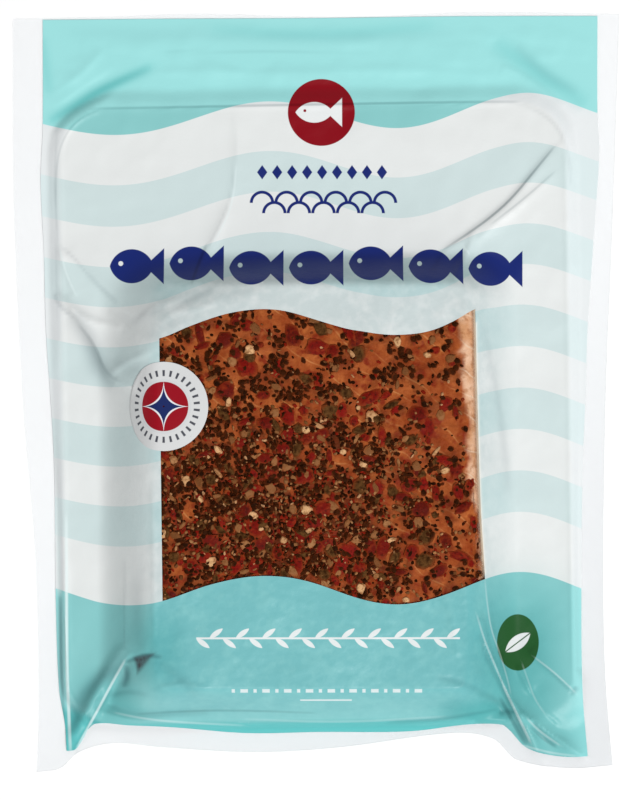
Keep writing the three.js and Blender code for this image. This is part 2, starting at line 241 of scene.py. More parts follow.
class Finish:
    """A material that is being made: one Principled shader, and what feeds it."""

    def __init__(self, name, roughness, specular):
        self.material = bpy.data.materials.new(name)
        self.material.use_nodes = True
        self.tree = self.material.node_tree
        self.shader = self.tree.nodes["Principled BSDF"]
        self.output = self.tree.nodes["Material Output"]
        self.shader.inputs["Roughness"].default_value = roughness
        self.shader.inputs["Specular IOR Level"].default_value = specular
        self.place = self.tree.nodes.new("ShaderNodeTexCoord").outputs["Object"]

    def mark(self, name):
        """A value stored on the mesh."""
        node = self.tree.nodes.new("ShaderNodeAttribute")
        node.attribute_name = name
        return Measure(self.tree, node.outputs["Fac"])

    def marked_place(self, name):
        """The X and Y of a place stored on the mesh."""
        node = self.tree.nodes.new("ShaderNodeAttribute")
        node.attribute_name = name
        parts = self.tree.nodes.new("ShaderNodeSeparateXYZ")
        self.tree.links.new(node.outputs["Vector"], parts.inputs[0])
        return Measure(self.tree, parts.outputs[0]), Measure(self.tree, parts.outputs[1])

    def grain(self, size, detail=2.0, distortion=0.0):
        """Soft noise of about a size in millimetres, from 0 to 1."""
        node = self.tree.nodes.new("ShaderNodeTexNoise")
        node.inputs["Scale"].default_value = 1000 / size
        node.inputs["Detail"].default_value = detail
        node.inputs["Distortion"].default_value = distortion
        self.tree.links.new(self.place, node.inputs["Vector"])
        return Measure(self.tree, node.outputs["Fac"])

    def speckled(self, size, detail, start, end):
        """Patches of noise of about a size: 0 where it is below start, and 1 above end."""
        return self.spread(self.grain(size, detail), start, end)

    def spread(self, value, start, end):
        """0 below start, 1 above end, and even between."""
        node = self.tree.nodes.new("ShaderNodeMapRange")
        node.inputs["From Min"].default_value = start
        node.inputs["From Max"].default_value = end
        self.tree.links.new(value.socket, node.inputs["Value"])
        return Measure(self.tree, node.outputs["Result"])

    def lay(self, under, over, share, blend="MIX"):
        """One colour laid over another by a share, which is a number or a Measure."""
        node = self.tree.nodes.new("ShaderNodeMix")
        node.data_type, node.blend_type = "RGBA", blend
        if isinstance(share, Measure):
            self.tree.links.new(share.socket, node.inputs[0])
        else:
            node.inputs[0].default_value = share
        for slot, colour in ((node.inputs[6], under), (node.inputs[7], over)):
            if isinstance(colour, tuple):
                slot.default_value = colour
            else:
                self.tree.links.new(colour, slot)
        return node.outputs[2]

    def colour(self, socket):
        self.tree.links.new(socket, self.shader.inputs["Base Color"])

    def roughness(self, value):
        self.tree.links.new(value.socket, self.shader.inputs["Roughness"])

    def relief(self, value, depth):
        """Bumps of a depth in millimetres where the value goes from 0 to 1."""
        node = self.tree.nodes.new("ShaderNodeBump")
        node.inputs["Strength"].default_value = 1.0
        node.inputs["Distance"].default_value = depth * MM
        self.tree.links.new(value.socket, node.inputs["Height"])
        before = self.shader.inputs["Normal"]
        if before.is_linked:
            self.tree.links.new(before.links[0].from_socket, node.inputs["Normal"])
        self.tree.links.new(node.outputs["Normal"], before)


def flesh_height(x, y):
    """Top of the flesh, a little way under the film and the spices."""
    return film_over_fish(x, y) * shoulder_share(x, y) - FLESH_BELOW_FILM


def fish_grid(steps):
    """Crossings over the fish's rounded outline, from its left to its right side."""
    u = np.linspace(-1, 1, steps[0])[:, None]
    v = np.linspace(-1, 1, steps[1])[None, :]
    y = FILLET["y"] + v * FILLET["half_height"] + 0 * u
    past_corner = np.maximum(np.abs(y - FILLET["y"]) - FILLET["half_height"] + FILLET["corner"], 0)
    rounding = FILLET["corner"] - np.sqrt(np.maximum(FILLET["corner"] ** 2 - past_corner ** 2, 0))
    return FILLET["x"] + u * (FILLET["half_width"] - rounding), y


def crusted(x, y):
    """How thickly the spices lie: dense in the middle and lower left, thin at top and right."""
    away = np.hypot((x + 16) / 47, (y + 34) / 35)
    lower_right = 0.12 * np.exp(-(((x - 24) / 24) ** 2) - ((y + 44) / 18) ** 2)
    uneven = 0.8 * patches(x, y, 8, 3.1) + 0.4 * patches(x, y, 2.6, 8.4)
    return np.clip(1.36 - 0.98 * away + lower_right + uneven, 0.1, 1)


def clumped(x, y):
    """Where the coarse pepper has gathered in clumps, from 0 to 1."""
    return np.clip(0.16 + 2.1 * patches(x, y, 4.6, 12.5) + 0.9 * patches(x, y, 1.9, 4.5), 0, 1)


fish_x, fish_y = fish_grid(FISH_STEPS)
wall_edge = smooth_curve(WALL_TOP_EDGE)
ragged_edge = 1.6 * patches(fish_x, fish_y, 4, 2.2)
side_wall = eased_step(fish_x - wall_edge(fish_y) + ragged_edge, -0.7, 1.1)
uneven_flesh = 0.16 * patches(fish_x, fish_y, 2.4, 5.7, 3) * (1 - side_wall)
flesh_top = np.maximum(
    flesh_height(fish_x, fish_y) + uneven_flesh,
    FISH_UNDERSIDE + THINNEST_FLESH,
)
fish_top = np.stack([fish_x, fish_y, flesh_top], -1)
fish_bottom = np.stack([fish_x, fish_y, np.full_like(fish_x, FISH_UNDERSIDE)], -1)
fillet_marks = {
    "crusted": crusted(fish_x, fish_y),
    "side_wall": side_wall,
    "clumped": clumped(fish_x, fish_y),
}
smoked_fillet = closed_shell("smoked_fillet", fish_top, fish_bottom, marks=fillet_marks)

# Smoked flesh: orange brown and moist, darker where the spices have stained it, and paler along
# the cut right side. Thin light lines run across it at a slant, where one flake meets the next.
FLAKE_LINES = {"across": 96, "along": 138, "waviness": 1.1, "half_share": 0.05, "sharpness": 22}
flesh = Finish("smoked flesh", roughness=0.5, specular=0.05)
broad = flesh.speckled(6, 3, 0.34, 0.66)
fine = flesh.spread(flesh.grain(1.3, 4, 0.4), 0.32, 0.68)
clean = flesh.lay(seen(154, 69, 29), seen(190, 105, 52), broad)
clean = flesh.lay(clean, seen(136, 54, 20), fine * 0.55)
way = flesh.tree.nodes.new("ShaderNodeSeparateXYZ")
flesh.tree.links.new(flesh.place, way.inputs[0])
flakes_across = Measure(flesh.tree, way.outputs[0]) * FLAKE_LINES["across"]
flakes_along = Measure(flesh.tree, way.outputs[1]) * FLAKE_LINES["along"]
flake_wave = flesh.grain(11, 1) * FLAKE_LINES["waviness"]
flake_turn = (flakes_across + flakes_along + flake_wave).worked("FRACT")
inside_line = (flake_turn - 0.5).size() * -1 + FLAKE_LINES["half_share"]
flake_line = (inside_line * FLAKE_LINES["sharpness"]).share()
clean = flesh.lay(clean, seen(214, 146, 88), flake_line * broad * 0.65)
stained = flesh.lay(seen(46, 17, 4), seen(98, 35, 12), fine)
stained = flesh.lay(stained, seen(150, 64, 26), flesh.speckled(2.6, 2, 0.5, 0.6) * 0.9)
stained = flesh.lay(stained, seen(118, 22, 10), flesh.speckled(4.2, 2, 0.55, 0.62) * 0.8)
clean = flesh.lay(clean, seen(128, 32, 14), flesh.speckled(3.4, 2, 0.55, 0.68) * 0.8)
clean = flesh.lay(clean, seen(84, 34, 14), flesh.mark("clumped") * 0.45)
top_flesh = flesh.lay(clean, stained, flesh.spread(flesh.mark("crusted"), 0.4, 1.1))
wall_flesh = flesh.lay(seen(212, 154, 110), seen(238, 196, 164), broad)
wall_flesh = flesh.lay(wall_flesh, seen(172, 110, 66), flesh.speckled(1.8, 3, 0.52, 0.66) * 0.6)
wall_flesh = flesh.lay(wall_flesh, seen(238, 212, 184), flake_line * 0.6)
flesh.colour(flesh.lay(top_flesh, wall_flesh, flesh.mark("side_wall")))
flesh.relief(fine, 0.12)
flesh.relief(flesh.grain(0.5, 2), 0.05)
smoked_fillet.data.materials.append(flesh.material)
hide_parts("fillet")
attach(smoked_fillet, "root")


# The dry crust: cracked black pepper, fine ground spice, pale grit, red pepper flakes, garlic
# granules and dried herb, strewn on the fish before smoking and pressed against it by the film.
WINDOW = {
    "top": 18.9, "bottom": -55.5,
    "left": [(-60, -42.8), (20, -43.8)],
    "right": [(-60, 47.6), (-50, 47.2), (-30, 46), (0, 45.1), (25, 44.5)],
}
# The printed waves run across the whole film, and their crests draw together to the right. The
# window's upper and lower edge are two of them. WAVE_DRIFT gives, at some levels, how far the
# print has been drawn up, from left to right.
WAVE = {"amplitude": 4.2, "rise": 0.0255, "start": -55.4, "turns": 0.02233, "tightening": 3.92e-5}
WAVE_DRIFT = [
    (-55.5, [
        (-72, 3.9), (-66, 3), (-60.5, 2.1), (-52, 1.4), (-43, 1), (-32, 1.3), (-22, 0.8),
        (-12, 0.4), (0, 0.3), (10, 0), (30, -0.1), (42, -0.4), (60, -0.5), (75, -0.6),
    ]),
    (-30, [(-72, 1.6), (-52, 1.2), (-30, 0.9), (0, 0), (50, 0), (75, -0.2)]),
    (18.9, [
        (-72, -0.2), (-50, 0.1), (-42, 0.2), (-36, 0.9), (-27, 1.1), (-20, 0.8), (-10, 0.3),
        (-1, -0.4), (8, -0.2), (14, 0.5), (24, 0.8), (33, 0.5), (39, 0.9), (44.5, 1.7), (52, 0.8),
        (75, 1.2),
    ]),
    (50, [(-72, -0.6), (0, 0), (50, 0), (60, 0.8), (66, 1.4), (75, 2)]),
    (78, [(-72, 0), (50, 0), (62, 0.8), (75, 1.1)]),
]
WINDOW_WIDTH, WINDOW_HEIGHT = 90, 75
CRUST_REACH = 0.4
CRUST_STEP = 0.9
PRESSED_SHARE = 0.2
CROSSING_ROUNDS = 7


def wave_height(x):
    """How far the printed waves stand above or below their level."""
    along = x - WAVE["start"]
    phase = math.pi * (1 + WAVE["turns"] * along + WAVE["tightening"] * along ** 2)
    return WAVE["rise"] * x + WAVE["amplitude"] * np.cos(phase)


drift_levels = np.array([level for level, _ in WAVE_DRIFT])
drift_curves = [smooth_curve(pairs) for _, pairs in WAVE_DRIFT]


def drifted(x, level):
    """How far the waves near a level are shifted, as the film is drawn up unevenly."""
    at = np.clip(level, drift_levels[0], drift_levels[-1] - 0.01)
    band = np.searchsorted(drift_levels, at, side="right") - 1
    share = (at - drift_levels[band]) / (drift_levels[band + 1] - drift_levels[band])
    curves = np.stack([curve(x) + 0 * at for curve in drift_curves])
    below = np.take_along_axis(curves, np.asarray(band)[None], 0)[0]
    above = np.take_along_axis(curves, np.asarray(band + 1)[None], 0)[0]
    return below * (1 - share) + above * share


def wave_line(level):
    """The wave at a level, as its height over each place."""
    return lambda x: level + wave_height(x) + drifted(x, level + 0 * x)


def wave_level(x, y):
    """The level of the wave that runs through each place."""
    near = y - wave_height(x)
    return near - drifted(x, near - drifted(x, near))


window_left, window_right = smooth_curve(WINDOW["left"]), smooth_curve(WINDOW["right"])
window_bottom, window_top = wave_line(WINDOW["bottom"]), wave_line(WINDOW["top"])


def crossings(columns, rows):
    """Places where guide lines x(y) and y(x) cross, with strips spaced evenly between them.

    Each is a list of (guide, strips to the next guide), the last with no strips.
    """
    def strip_lines(guides):
        return [
            (guide, following, step / strips)
            for (guide, strips), (following, _) in zip(guides, guides[1:])
            for step in range(strips)
        ] + [(guides[-1][0], guides[-1][0], 0)]

    def spread_over(lines, at):
        return np.stack([
            (guide(w) + 0 * w) * (1 - t) + (following(w) + 0 * w) * t
            for (guide, following, t), w in zip(lines, at)
        ])

    column_lines, row_lines = strip_lines(columns), strip_lines(rows)
    x = np.zeros((len(column_lines), len(row_lines)))
    y = np.zeros_like(x)
    for _ in range(CROSSING_ROUNDS):
        x = spread_over(column_lines, y)
        y = spread_over(row_lines, x.T).T
    return x, y


def inside_window(x, y):
    """How far each place is inside the nearest edge of the window."""
    return np.minimum.reduce([
        x - window_left(y), window_right(y) - x,
        y - window_bottom(x), window_top(x) - y,
    ])


def window_grid(beyond, step):
    """Crossings over the window, which follow its edges, and run a little beyond them."""
    columns = [
        (lambda y: window_left(y) - beyond, round(WINDOW_WIDTH / step)),
        (lambda y: window_right(y) + beyond, 0),
    ]
    rows = [
        (lambda x: window_bottom(x) - beyond, round(WINDOW_HEIGHT / step)),
        (lambda x: window_top(x) + beyond, 0),
    ]
    return crossings(columns, rows)


bed_x, bed_y = window_grid(CRUST_REACH, CRUST_STEP)
bed_crust = crusted(bed_x, bed_y)
on_top = 1 - eased_step(bed_x - wall_edge(bed_y), -1.2, 0.2)
clumps = clumped(bed_x, bed_y)
fewer_at_right = 1 - 0.42 * eased_step(bed_x, -10, 36)
bed_marks = {
    "ground_spice": (0.5 * bed_crust ** 1.6 + 0.1 * clumps + 0.02) * on_top,
    "pepper": (0.05 + 0.75 * clumps + 0.2 * bed_crust) * on_top * fewer_at_right,
    "flakes": (0.55 + 0.1 * bed_crust) * on_top,
    "granules": (0.25 + 0.75 * bed_crust) * on_top,
}
bed_index = np.arange(bed_x.size).reshape(bed_x.shape)
bed_faces = np.stack([
    bed_index[:-1, :-1], bed_index[1:, :-1], bed_index[1:, 1:], bed_index[:-1, 1:],
], -1)
bed_places = np.stack([bed_x, bed_y, flesh_height(bed_x, bed_y)], -1) * MM
crust_bed = bpy.data.meshes.new("crust bed")
crust_bed.from_pydata(bed_places.reshape(-1, 3).tolist(), [], bed_faces.reshape(-1, 4).tolist())
for mark, values in bed_marks.items():
    crust_bed.attributes.new(mark, "FLOAT", "POINT").data.foreach_set("value", values.ravel())


def rough_grain(name, rings, points, squareness, unevenness, seed):
    """One uneven grain about 2 units across: rings of points between its two ends."""
    random = np.random.default_rng(seed)
    lobes = random.uniform(1 - unevenness, 1 + 0.3 * unevenness, points)
    places, faces = [(0, 0, -1.0)], []
    for ring in range(1, rings + 1):
        angle = math.pi * ring / (rings + 1)
        for point in range(points):
            turn = 2 * math.pi * (point + 0.5 * (ring % 2)) / points
            reach = math.sin(angle) ** squareness * lobes[point] * random.uniform(0.85, 1.05)
            height = -math.cos(angle) * random.uniform(0.8, 1.1)
            places.append((reach * math.cos(turn), reach * math.sin(turn), height))
    places.append((0, 0, 1.0))
    last = len(places) - 1
    for point in range(points):
        after = (point + 1) % points
        faces.append((0, 1 + after, 1 + point))
        for ring in range(rings - 1):
            a, b = 1 + ring * points + point, 1 + ring * points + after
            faces.append((a, b, b + points, a + points))
        end = 1 + (rings - 1) * points
        faces.append((last, end + point, end + after))
    mesh = bpy.data.meshes.new(name)
    mesh.from_pydata(places, [], faces)
    out = [math.hypot(px, py) for px, py, _ in places]
    outward = [min(reach / (0.85 * max(out)), 1) ** 2 for reach in out]
    mesh.attributes.new("outward", "FLOAT", "POINT").data.foreach_set("value", outward)
    return bpy.data.objects.new(name, mesh)


def grains(kind, count, rings, points, squareness, unevenness, seed):
    """Some grains of one kind, each a little different."""
    return [
        rough_grain("%s %d" % (kind, n), rings, points, squareness, unevenness, seed + n)
        for n in range(count)
    ]


def strewn(name, kinds_of_grain, material, density_mark, lift, seed, inputs):
    """Spices of one kind strewn over the crust bed, as one mesh, by Geometry Nodes.

    Apart, Smallest and Largest are metres, Density is grains to a square metre, and Tilt is how
    far a grain may turn about each of its axes.
    """
    tree = bpy.data.node_groups.new("strew " + name, "GeometryNodeTree")
    sockets = {}

    def socket(label, kind, way="INPUT"):
        sockets[label] = tree.interface.new_socket(
            name=label, in_out=way, socket_type="NodeSocket" + kind)

    socket("Geometry", "Geometry")
    for label in ("Apart", "Density"):
        socket(label, "Float")
    for label in ("Smallest", "Largest", "Tilt"):
        socket(label, "Vector")
    socket("Grains", "Collection")
    socket("Seed", "Int")
    socket("Spices", "Geometry", "OUTPUT")

    def node(kind, **settings):
        added = tree.nodes.new(kind)
        for key, value in settings.items():
            setattr(added, key, value)
        return added

    given = node("NodeGroupInput").outputs
    scattered = node("GeometryNodeDistributePointsOnFaces", distribute_method="POISSON")
    wanted = node("GeometryNodeInputNamedAttribute", data_type="FLOAT")
    wanted.inputs["Name"].default_value = density_mark
    kinds = node("GeometryNodeCollectionInfo")
    kinds.inputs["Separate Children"].default_value = True
    kinds.inputs["Reset Children"].default_value = True
    size = node("FunctionNodeRandomValue", data_type="FLOAT_VECTOR")
    tilt = node("FunctionNodeRandomValue", data_type="FLOAT_VECTOR")
    lowest = node("ShaderNodeVectorMath", operation="SCALE")
    lowest.inputs["Scale"].default_value = -1
    turned = node("FunctionNodeEulerToRotation")
    facing = node("FunctionNodeRotateRotation", rotation_space="LOCAL")
    placed = node("GeometryNodeInstanceOnPoints")
    placed.inputs["Pick Instance"].default_value = True
    tint = node("FunctionNodeRandomValue", data_type="FLOAT")
    tinted = node("GeometryNodeStoreNamedAttribute", data_type="FLOAT", domain="INSTANCE")
    tinted.inputs["Name"].default_value = "tint"
    joined = node("GeometryNodeRealizeInstances")
    finished = node("GeometryNodeSetMaterial")
    finished.inputs["Material"].default_value = material
    out = node("NodeGroupOutput")
    for source, target in (
        (given["Geometry"], scattered.inputs["Mesh"]),
        (given["Apart"], scattered.inputs["Distance Min"]),
        (given["Density"], scattered.inputs["Density Max"]),
        (wanted.outputs["Attribute"], scattered.inputs["Density Factor"]),
        (given["Seed"], scattered.inputs["Seed"]),
        (given["Grains"], kinds.inputs["Collection"]),
        (given["Smallest"], size.inputs[0]),
        (given["Largest"], size.inputs[1]),
        (given["Seed"], size.inputs["Seed"]),
        (given["Tilt"], lowest.inputs[0]),
        (lowest.outputs[0], tilt.inputs[0]),
        (given["Tilt"], tilt.inputs[1]),
        (given["Seed"], tilt.inputs["Seed"]),
        (tilt.outputs[0], turned.inputs[0]),
        (scattered.outputs["Rotation"], facing.inputs[0]),
        (turned.outputs[0], facing.inputs[1]),
        (scattered.outputs["Points"], placed.inputs["Points"]),
        (kinds.outputs[0], placed.inputs["Instance"]),
        (facing.outputs[0], placed.inputs["Rotation"]),
        (size.outputs[0], placed.inputs["Scale"]),
        (placed.outputs[0], tinted.inputs["Geometry"]),
        (tint.outputs[1], tinted.inputs["Value"]),
        (tinted.outputs[0], joined.inputs[0]),
        (joined.outputs[0], finished.inputs["Geometry"]),
        (finished.outputs[0], out.inputs[0]),
    ):
        tree.links.new(source, target)
    tint.inputs["Seed"].default_value = seed + 7
    collection = bpy.data.collections.new(name + " grains")
    for grain in kinds_of_grain:
        collection.objects.link(grain)
    carrier = bpy.data.objects.new(name, crust_bed)
    bpy.context.scene.collection.objects.link(carrier)
    strewing = carrier.modifiers.new("strewing", "NODES")
    strewing.node_group = tree
    for label, value in {**inputs, "Grains": collection, "Seed": seed}.items():
        strewing[sockets[label].identifier] = value
    evaluated = carrier.evaluated_get(bpy.context.evaluated_depsgraph_get())
    mesh = bpy.data.meshes.new_from_object(evaluated)
    bpy.data.objects.remove(carrier)
    for grain in kinds_of_grain:
        bpy.data.objects.remove(grain)
    bpy.data.collections.remove(collection)
    mesh.name = name
    press_under_film(mesh, lift)
    spice = bpy.data.objects.new(name, mesh)
    bpy.context.scene.collection.objects.link(spice)
    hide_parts("fillet")
    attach(spice, "root")
    return spice


def press_under_film(mesh, lift):
    """Lifts the grains and flattens what would stand through the film that is drawn onto them.

    The film lies a little lower at the window's edge, where the printed film begins.
    """
    place = np.empty(len(mesh.vertices) * 3)
    mesh.vertices.foreach_get("co", place)
    place = place.reshape(-1, 3)
    place[:, 2] += lift * MM
    x, y = place[:, 0] / MM, place[:, 1] / MM
    inset = inside_window(x, y)
    room = 0.37 * eased_step(inset, 0.2, 1.6) - 0.32
    film = film_over_fish(x, y) * shoulder_share(x, y) + room
    proud = np.maximum(place[:, 2] / MM - film, 0)
    place[:, 2] -= proud * (1 - PRESSED_SHARE) * MM
    mesh.vertices.foreach_set("co", place.ravel())
    mesh.update()


def broken_rim(finish):
    """How near a place on a grain is to its broken outer edge, from 0 to 1."""
    return finish.spread(finish.mark("outward"), 0.45, 1.0)


# Cracked black pepper: dark angular bits of peppercorn, browner where they are broken.
pepper_finish = Finish("cracked pepper", roughness=0.6, specular=0.03)
pepper_shade = pepper_finish.mark("tint") * pepper_finish.grain(0.6, 3)
pepper_tone = pepper_finish.lay(seen(36, 14, 2), seen(78, 36, 11), pepper_shade)
pepper_tone = pepper_finish.lay(pepper_tone, seen(106, 46, 18), broken_rim(pepper_finish) * 0.75)
pepper_finish.colour(pepper_tone)
pepper_finish.relief(pepper_finish.grain(0.35, 2), 0.1)
black_pepper = strewn(
    "black_pepper", grains("pepper", 7, 3, 8, 0.8, 0.24, 10), pepper_finish.material,
    density_mark="pepper", lift=0.2, seed=21,
    inputs={
        "Apart": 0.00105, "Density": 1150000.0,
        "Smallest": (0.00045, 0.00045, 0.0003), "Largest": (0.0015, 0.0013, 0.0008),
        "Tilt": (0.4, 0.4, 3.1),
    },
)

# Ground spice: the smallest dark brown and dull red crumbs, thickest where the crust is dense.
ground_finish = Finish("ground spice", roughness=0.7, specular=0.03)
ground_tint = ground_finish.mark("tint")
browner = ground_finish.spread(ground_tint, 0.3, 0.75)
redder = ground_finish.spread(ground_tint, 0.72, 0.76)
paler = ground_finish.spread(ground_tint, 0.88, 0.9)
ground_tone = ground_finish.lay(seen(42, 16, 3), seen(100, 42, 15), browner)
ground_tone = ground_finish.lay(ground_tone, seen(132, 30, 14), redder)
ground_tone = ground_finish.lay(ground_tone, seen(118, 76, 40), paler)
ground_finish.colour(ground_tone)
ground_finish.relief(ground_finish.grain(0.3, 2), 0.08)
ground_spice = strewn(
    "ground_spice", grains("ground", 4, 2, 5, 0.7, 0.35, 30), ground_finish.material,
    density_mark="ground_spice", lift=0.05, seed=22,
    inputs={
        "Apart": 0.0005, "Density": 3600000.0,
        "Smallest": (0.0003, 0.0003, 0.0002), "Largest": (0.001, 0.0009, 0.0005),
        "Tilt": (0.5, 0.5, 3.1),
    },
)

# Pale grit: crumbs of garlic and seed between the dark ones.
grit_finish = Finish("pale grit", roughness=0.6, specular=0.04)
grit_tint = grit_finish.mark("tint")
grit_tone = grit_finish.lay(
    seen(104, 62, 32), seen(168, 116, 72), grit_finish.spread(grit_tint, 0.05, 0.8))
grit_tone = grit_finish.lay(
    grit_tone, seen(200, 150, 106), grit_finish.spread(grit_tint, 0.86, 0.98))
grit_tone = grit_finish.lay(
    grit_tone, seen(96, 52, 26), grit_finish.speckled(0.8, 2, 0.5, 0.7) * 0.6)
grit_finish.colour(grit_tone)
grit_finish.relief(grit_finish.grain(0.3, 2), 0.08)
pale_grit = strewn(
    "pale_grit", grains("grit", 4, 2, 6, 0.7, 0.35, 40), grit_finish.material,
    density_mark="ground_spice", lift=0.25, seed=26,
    inputs={
        "Apart": 0.0009, "Density": 900000.0,
        "Smallest": (0.00025, 0.00025, 0.0002), "Largest": (0.0009, 0.0008, 0.0005),
        "Tilt": (0.5, 0.5, 3.1),
    },
)

# Red pepper flakes: thin broad bits of dried skin that lie flat.
flake_finish = Finish("red pepper flakes", roughness=0.55, specular=0.04)
flake_light = flake_finish.speckled(1.6, 3, 0.5, 0.7) * 0.6
flake_dark = flake_finish.speckled(0.9, 3, 0.54, 0.66) * 0.8
flake_tone = flake_finish.lay(seen(90, 20, 9), seen(130, 20, 13), flake_finish.mark("tint"))
flake_tone = flake_finish.lay(flake_tone, seen(150, 54, 22), flake_light)
flake_tone = flake_finish.lay(flake_tone, seen(66, 18, 9), flake_dark)
flake_tone = flake_finish.lay(flake_tone, seen(140, 58, 24), broken_rim(flake_finish) * 0.85)
flake_finish.colour(flake_tone)
flake_finish.relief(flake_finish.grain(0.8, 3), 0.15)
red_flakes = strewn(
    "red_pepper_flakes", grains("flake", 6, 4, 12, 0.75, 0.3, 50), flake_finish.material,
    density_mark="flakes", lift=0.2, seed=23,
    inputs={
        "Apart": 0.0036, "Density": 62000.0,
        "Smallest": (0.0008, 0.0009, 0.0002), "Largest": (0.0042, 0.0034, 0.0005),
        "Tilt": (0.12, 0.12, 3.1),
    },
)

# Garlic granules: round tan grains, a few of them cream.
garlic_finish = Finish("garlic granules", roughness=0.55, specular=0.06)
garlic_tint = garlic_finish.mark("tint")
garlic_stain = garlic_finish.speckled(0.9, 3, 0.48, 0.66) * 0.8
garlic_tone = garlic_finish.lay(
    seen(112, 67, 34), seen(160, 108, 66), garlic_finish.spread(garlic_tint, 0.0, 0.65))
garlic_tone = garlic_finish.lay(
    garlic_tone, seen(222, 174, 124), garlic_finish.spread(garlic_tint, 0.62, 0.9))
garlic_tone = garlic_finish.lay(garlic_tone, seen(128, 78, 40), garlic_stain)
garlic_tone = garlic_finish.lay(garlic_tone, seen(146, 78, 38), broken_rim(garlic_finish) * 0.7)
garlic_finish.colour(garlic_tone)
garlic_finish.relief(garlic_finish.grain(0.6, 3), 0.15)
garlic = strewn(
    "garlic_granules", grains("garlic", 4, 4, 9, 0.7, 0.25, 70), garlic_finish.material,
    density_mark="granules", lift=0.2, seed=24,
    inputs={
        "Apart": 0.0034, "Density": 40000.0,
        "Smallest": (0.0006, 0.0006, 0.0004), "Largest": (0.0022, 0.002, 0.0007),
        "Tilt": (0.2, 0.2, 3.1),
    },
)

# Dried herb: flat olive brown bits of leaf.
herb_finish = Finish("dried herb", roughness=0.7, specular=0.03)
herb_patches = herb_finish.speckled(1.1, 3, 0.35, 0.65)
herb_tone = herb_finish.lay(seen(54, 30, 9), seen(100, 66, 33), herb_patches)
herb_tone = herb_finish.lay(herb_tone, seen(124, 54, 22), broken_rim(herb_finish) * 0.8)
herb_finish.colour(herb_tone)
herb_finish.relief(herb_finish.grain(0.5, 3), 0.15)
herb = strewn(
    "dried_herb", grains("herb", 4, 4, 10, 0.75, 0.3, 90), herb_finish.material,
    density_mark="granules", lift=0.15, seed=25,
    inputs={
        "Apart": 0.0052, "Density": 32000.0,
        "Smallest": (0.0009, 0.0009, 0.0003), "Largest": (0.0038, 0.003, 0.0005),
        "Tilt": (0.14, 0.14, 3.1),
    },
)
spice_pieces = [black_pepper, ground_spice, pale_grit, red_flakes, garlic, herb]


# The printed front: one thin film, printed on its inside, drawn down over the fish and its
# backing board. It wrinkles where it is drawn in at the corners, and is left clear at the window.
SEAL_THICKNESS = 0.2
FRONT_THICKNESS = 0.1
BOARD = {
    "x": 0.1, "y": -5.9, "half_width": 71.1, "half_height": 86.6, "corner": 14,
    "turn": math.radians(0.8),
}
BOARD_TOP = 2.2
EDGE_DROP = {"least": 2.3, "above_middle": 1.6, "at_top": 1.6, "slack_corner": 14}
BOARD_LEAN = {"outwards": -0.2, "for_each": 60, "at_most": 1.4}
STRETCH = {"height": 1.5, "reach": 24, "lost_at_right": 0.7}
BEAD = {"height": 0.24, "more_lower_left": 0.75, "inside": 0.3, "half_width": 0.6}

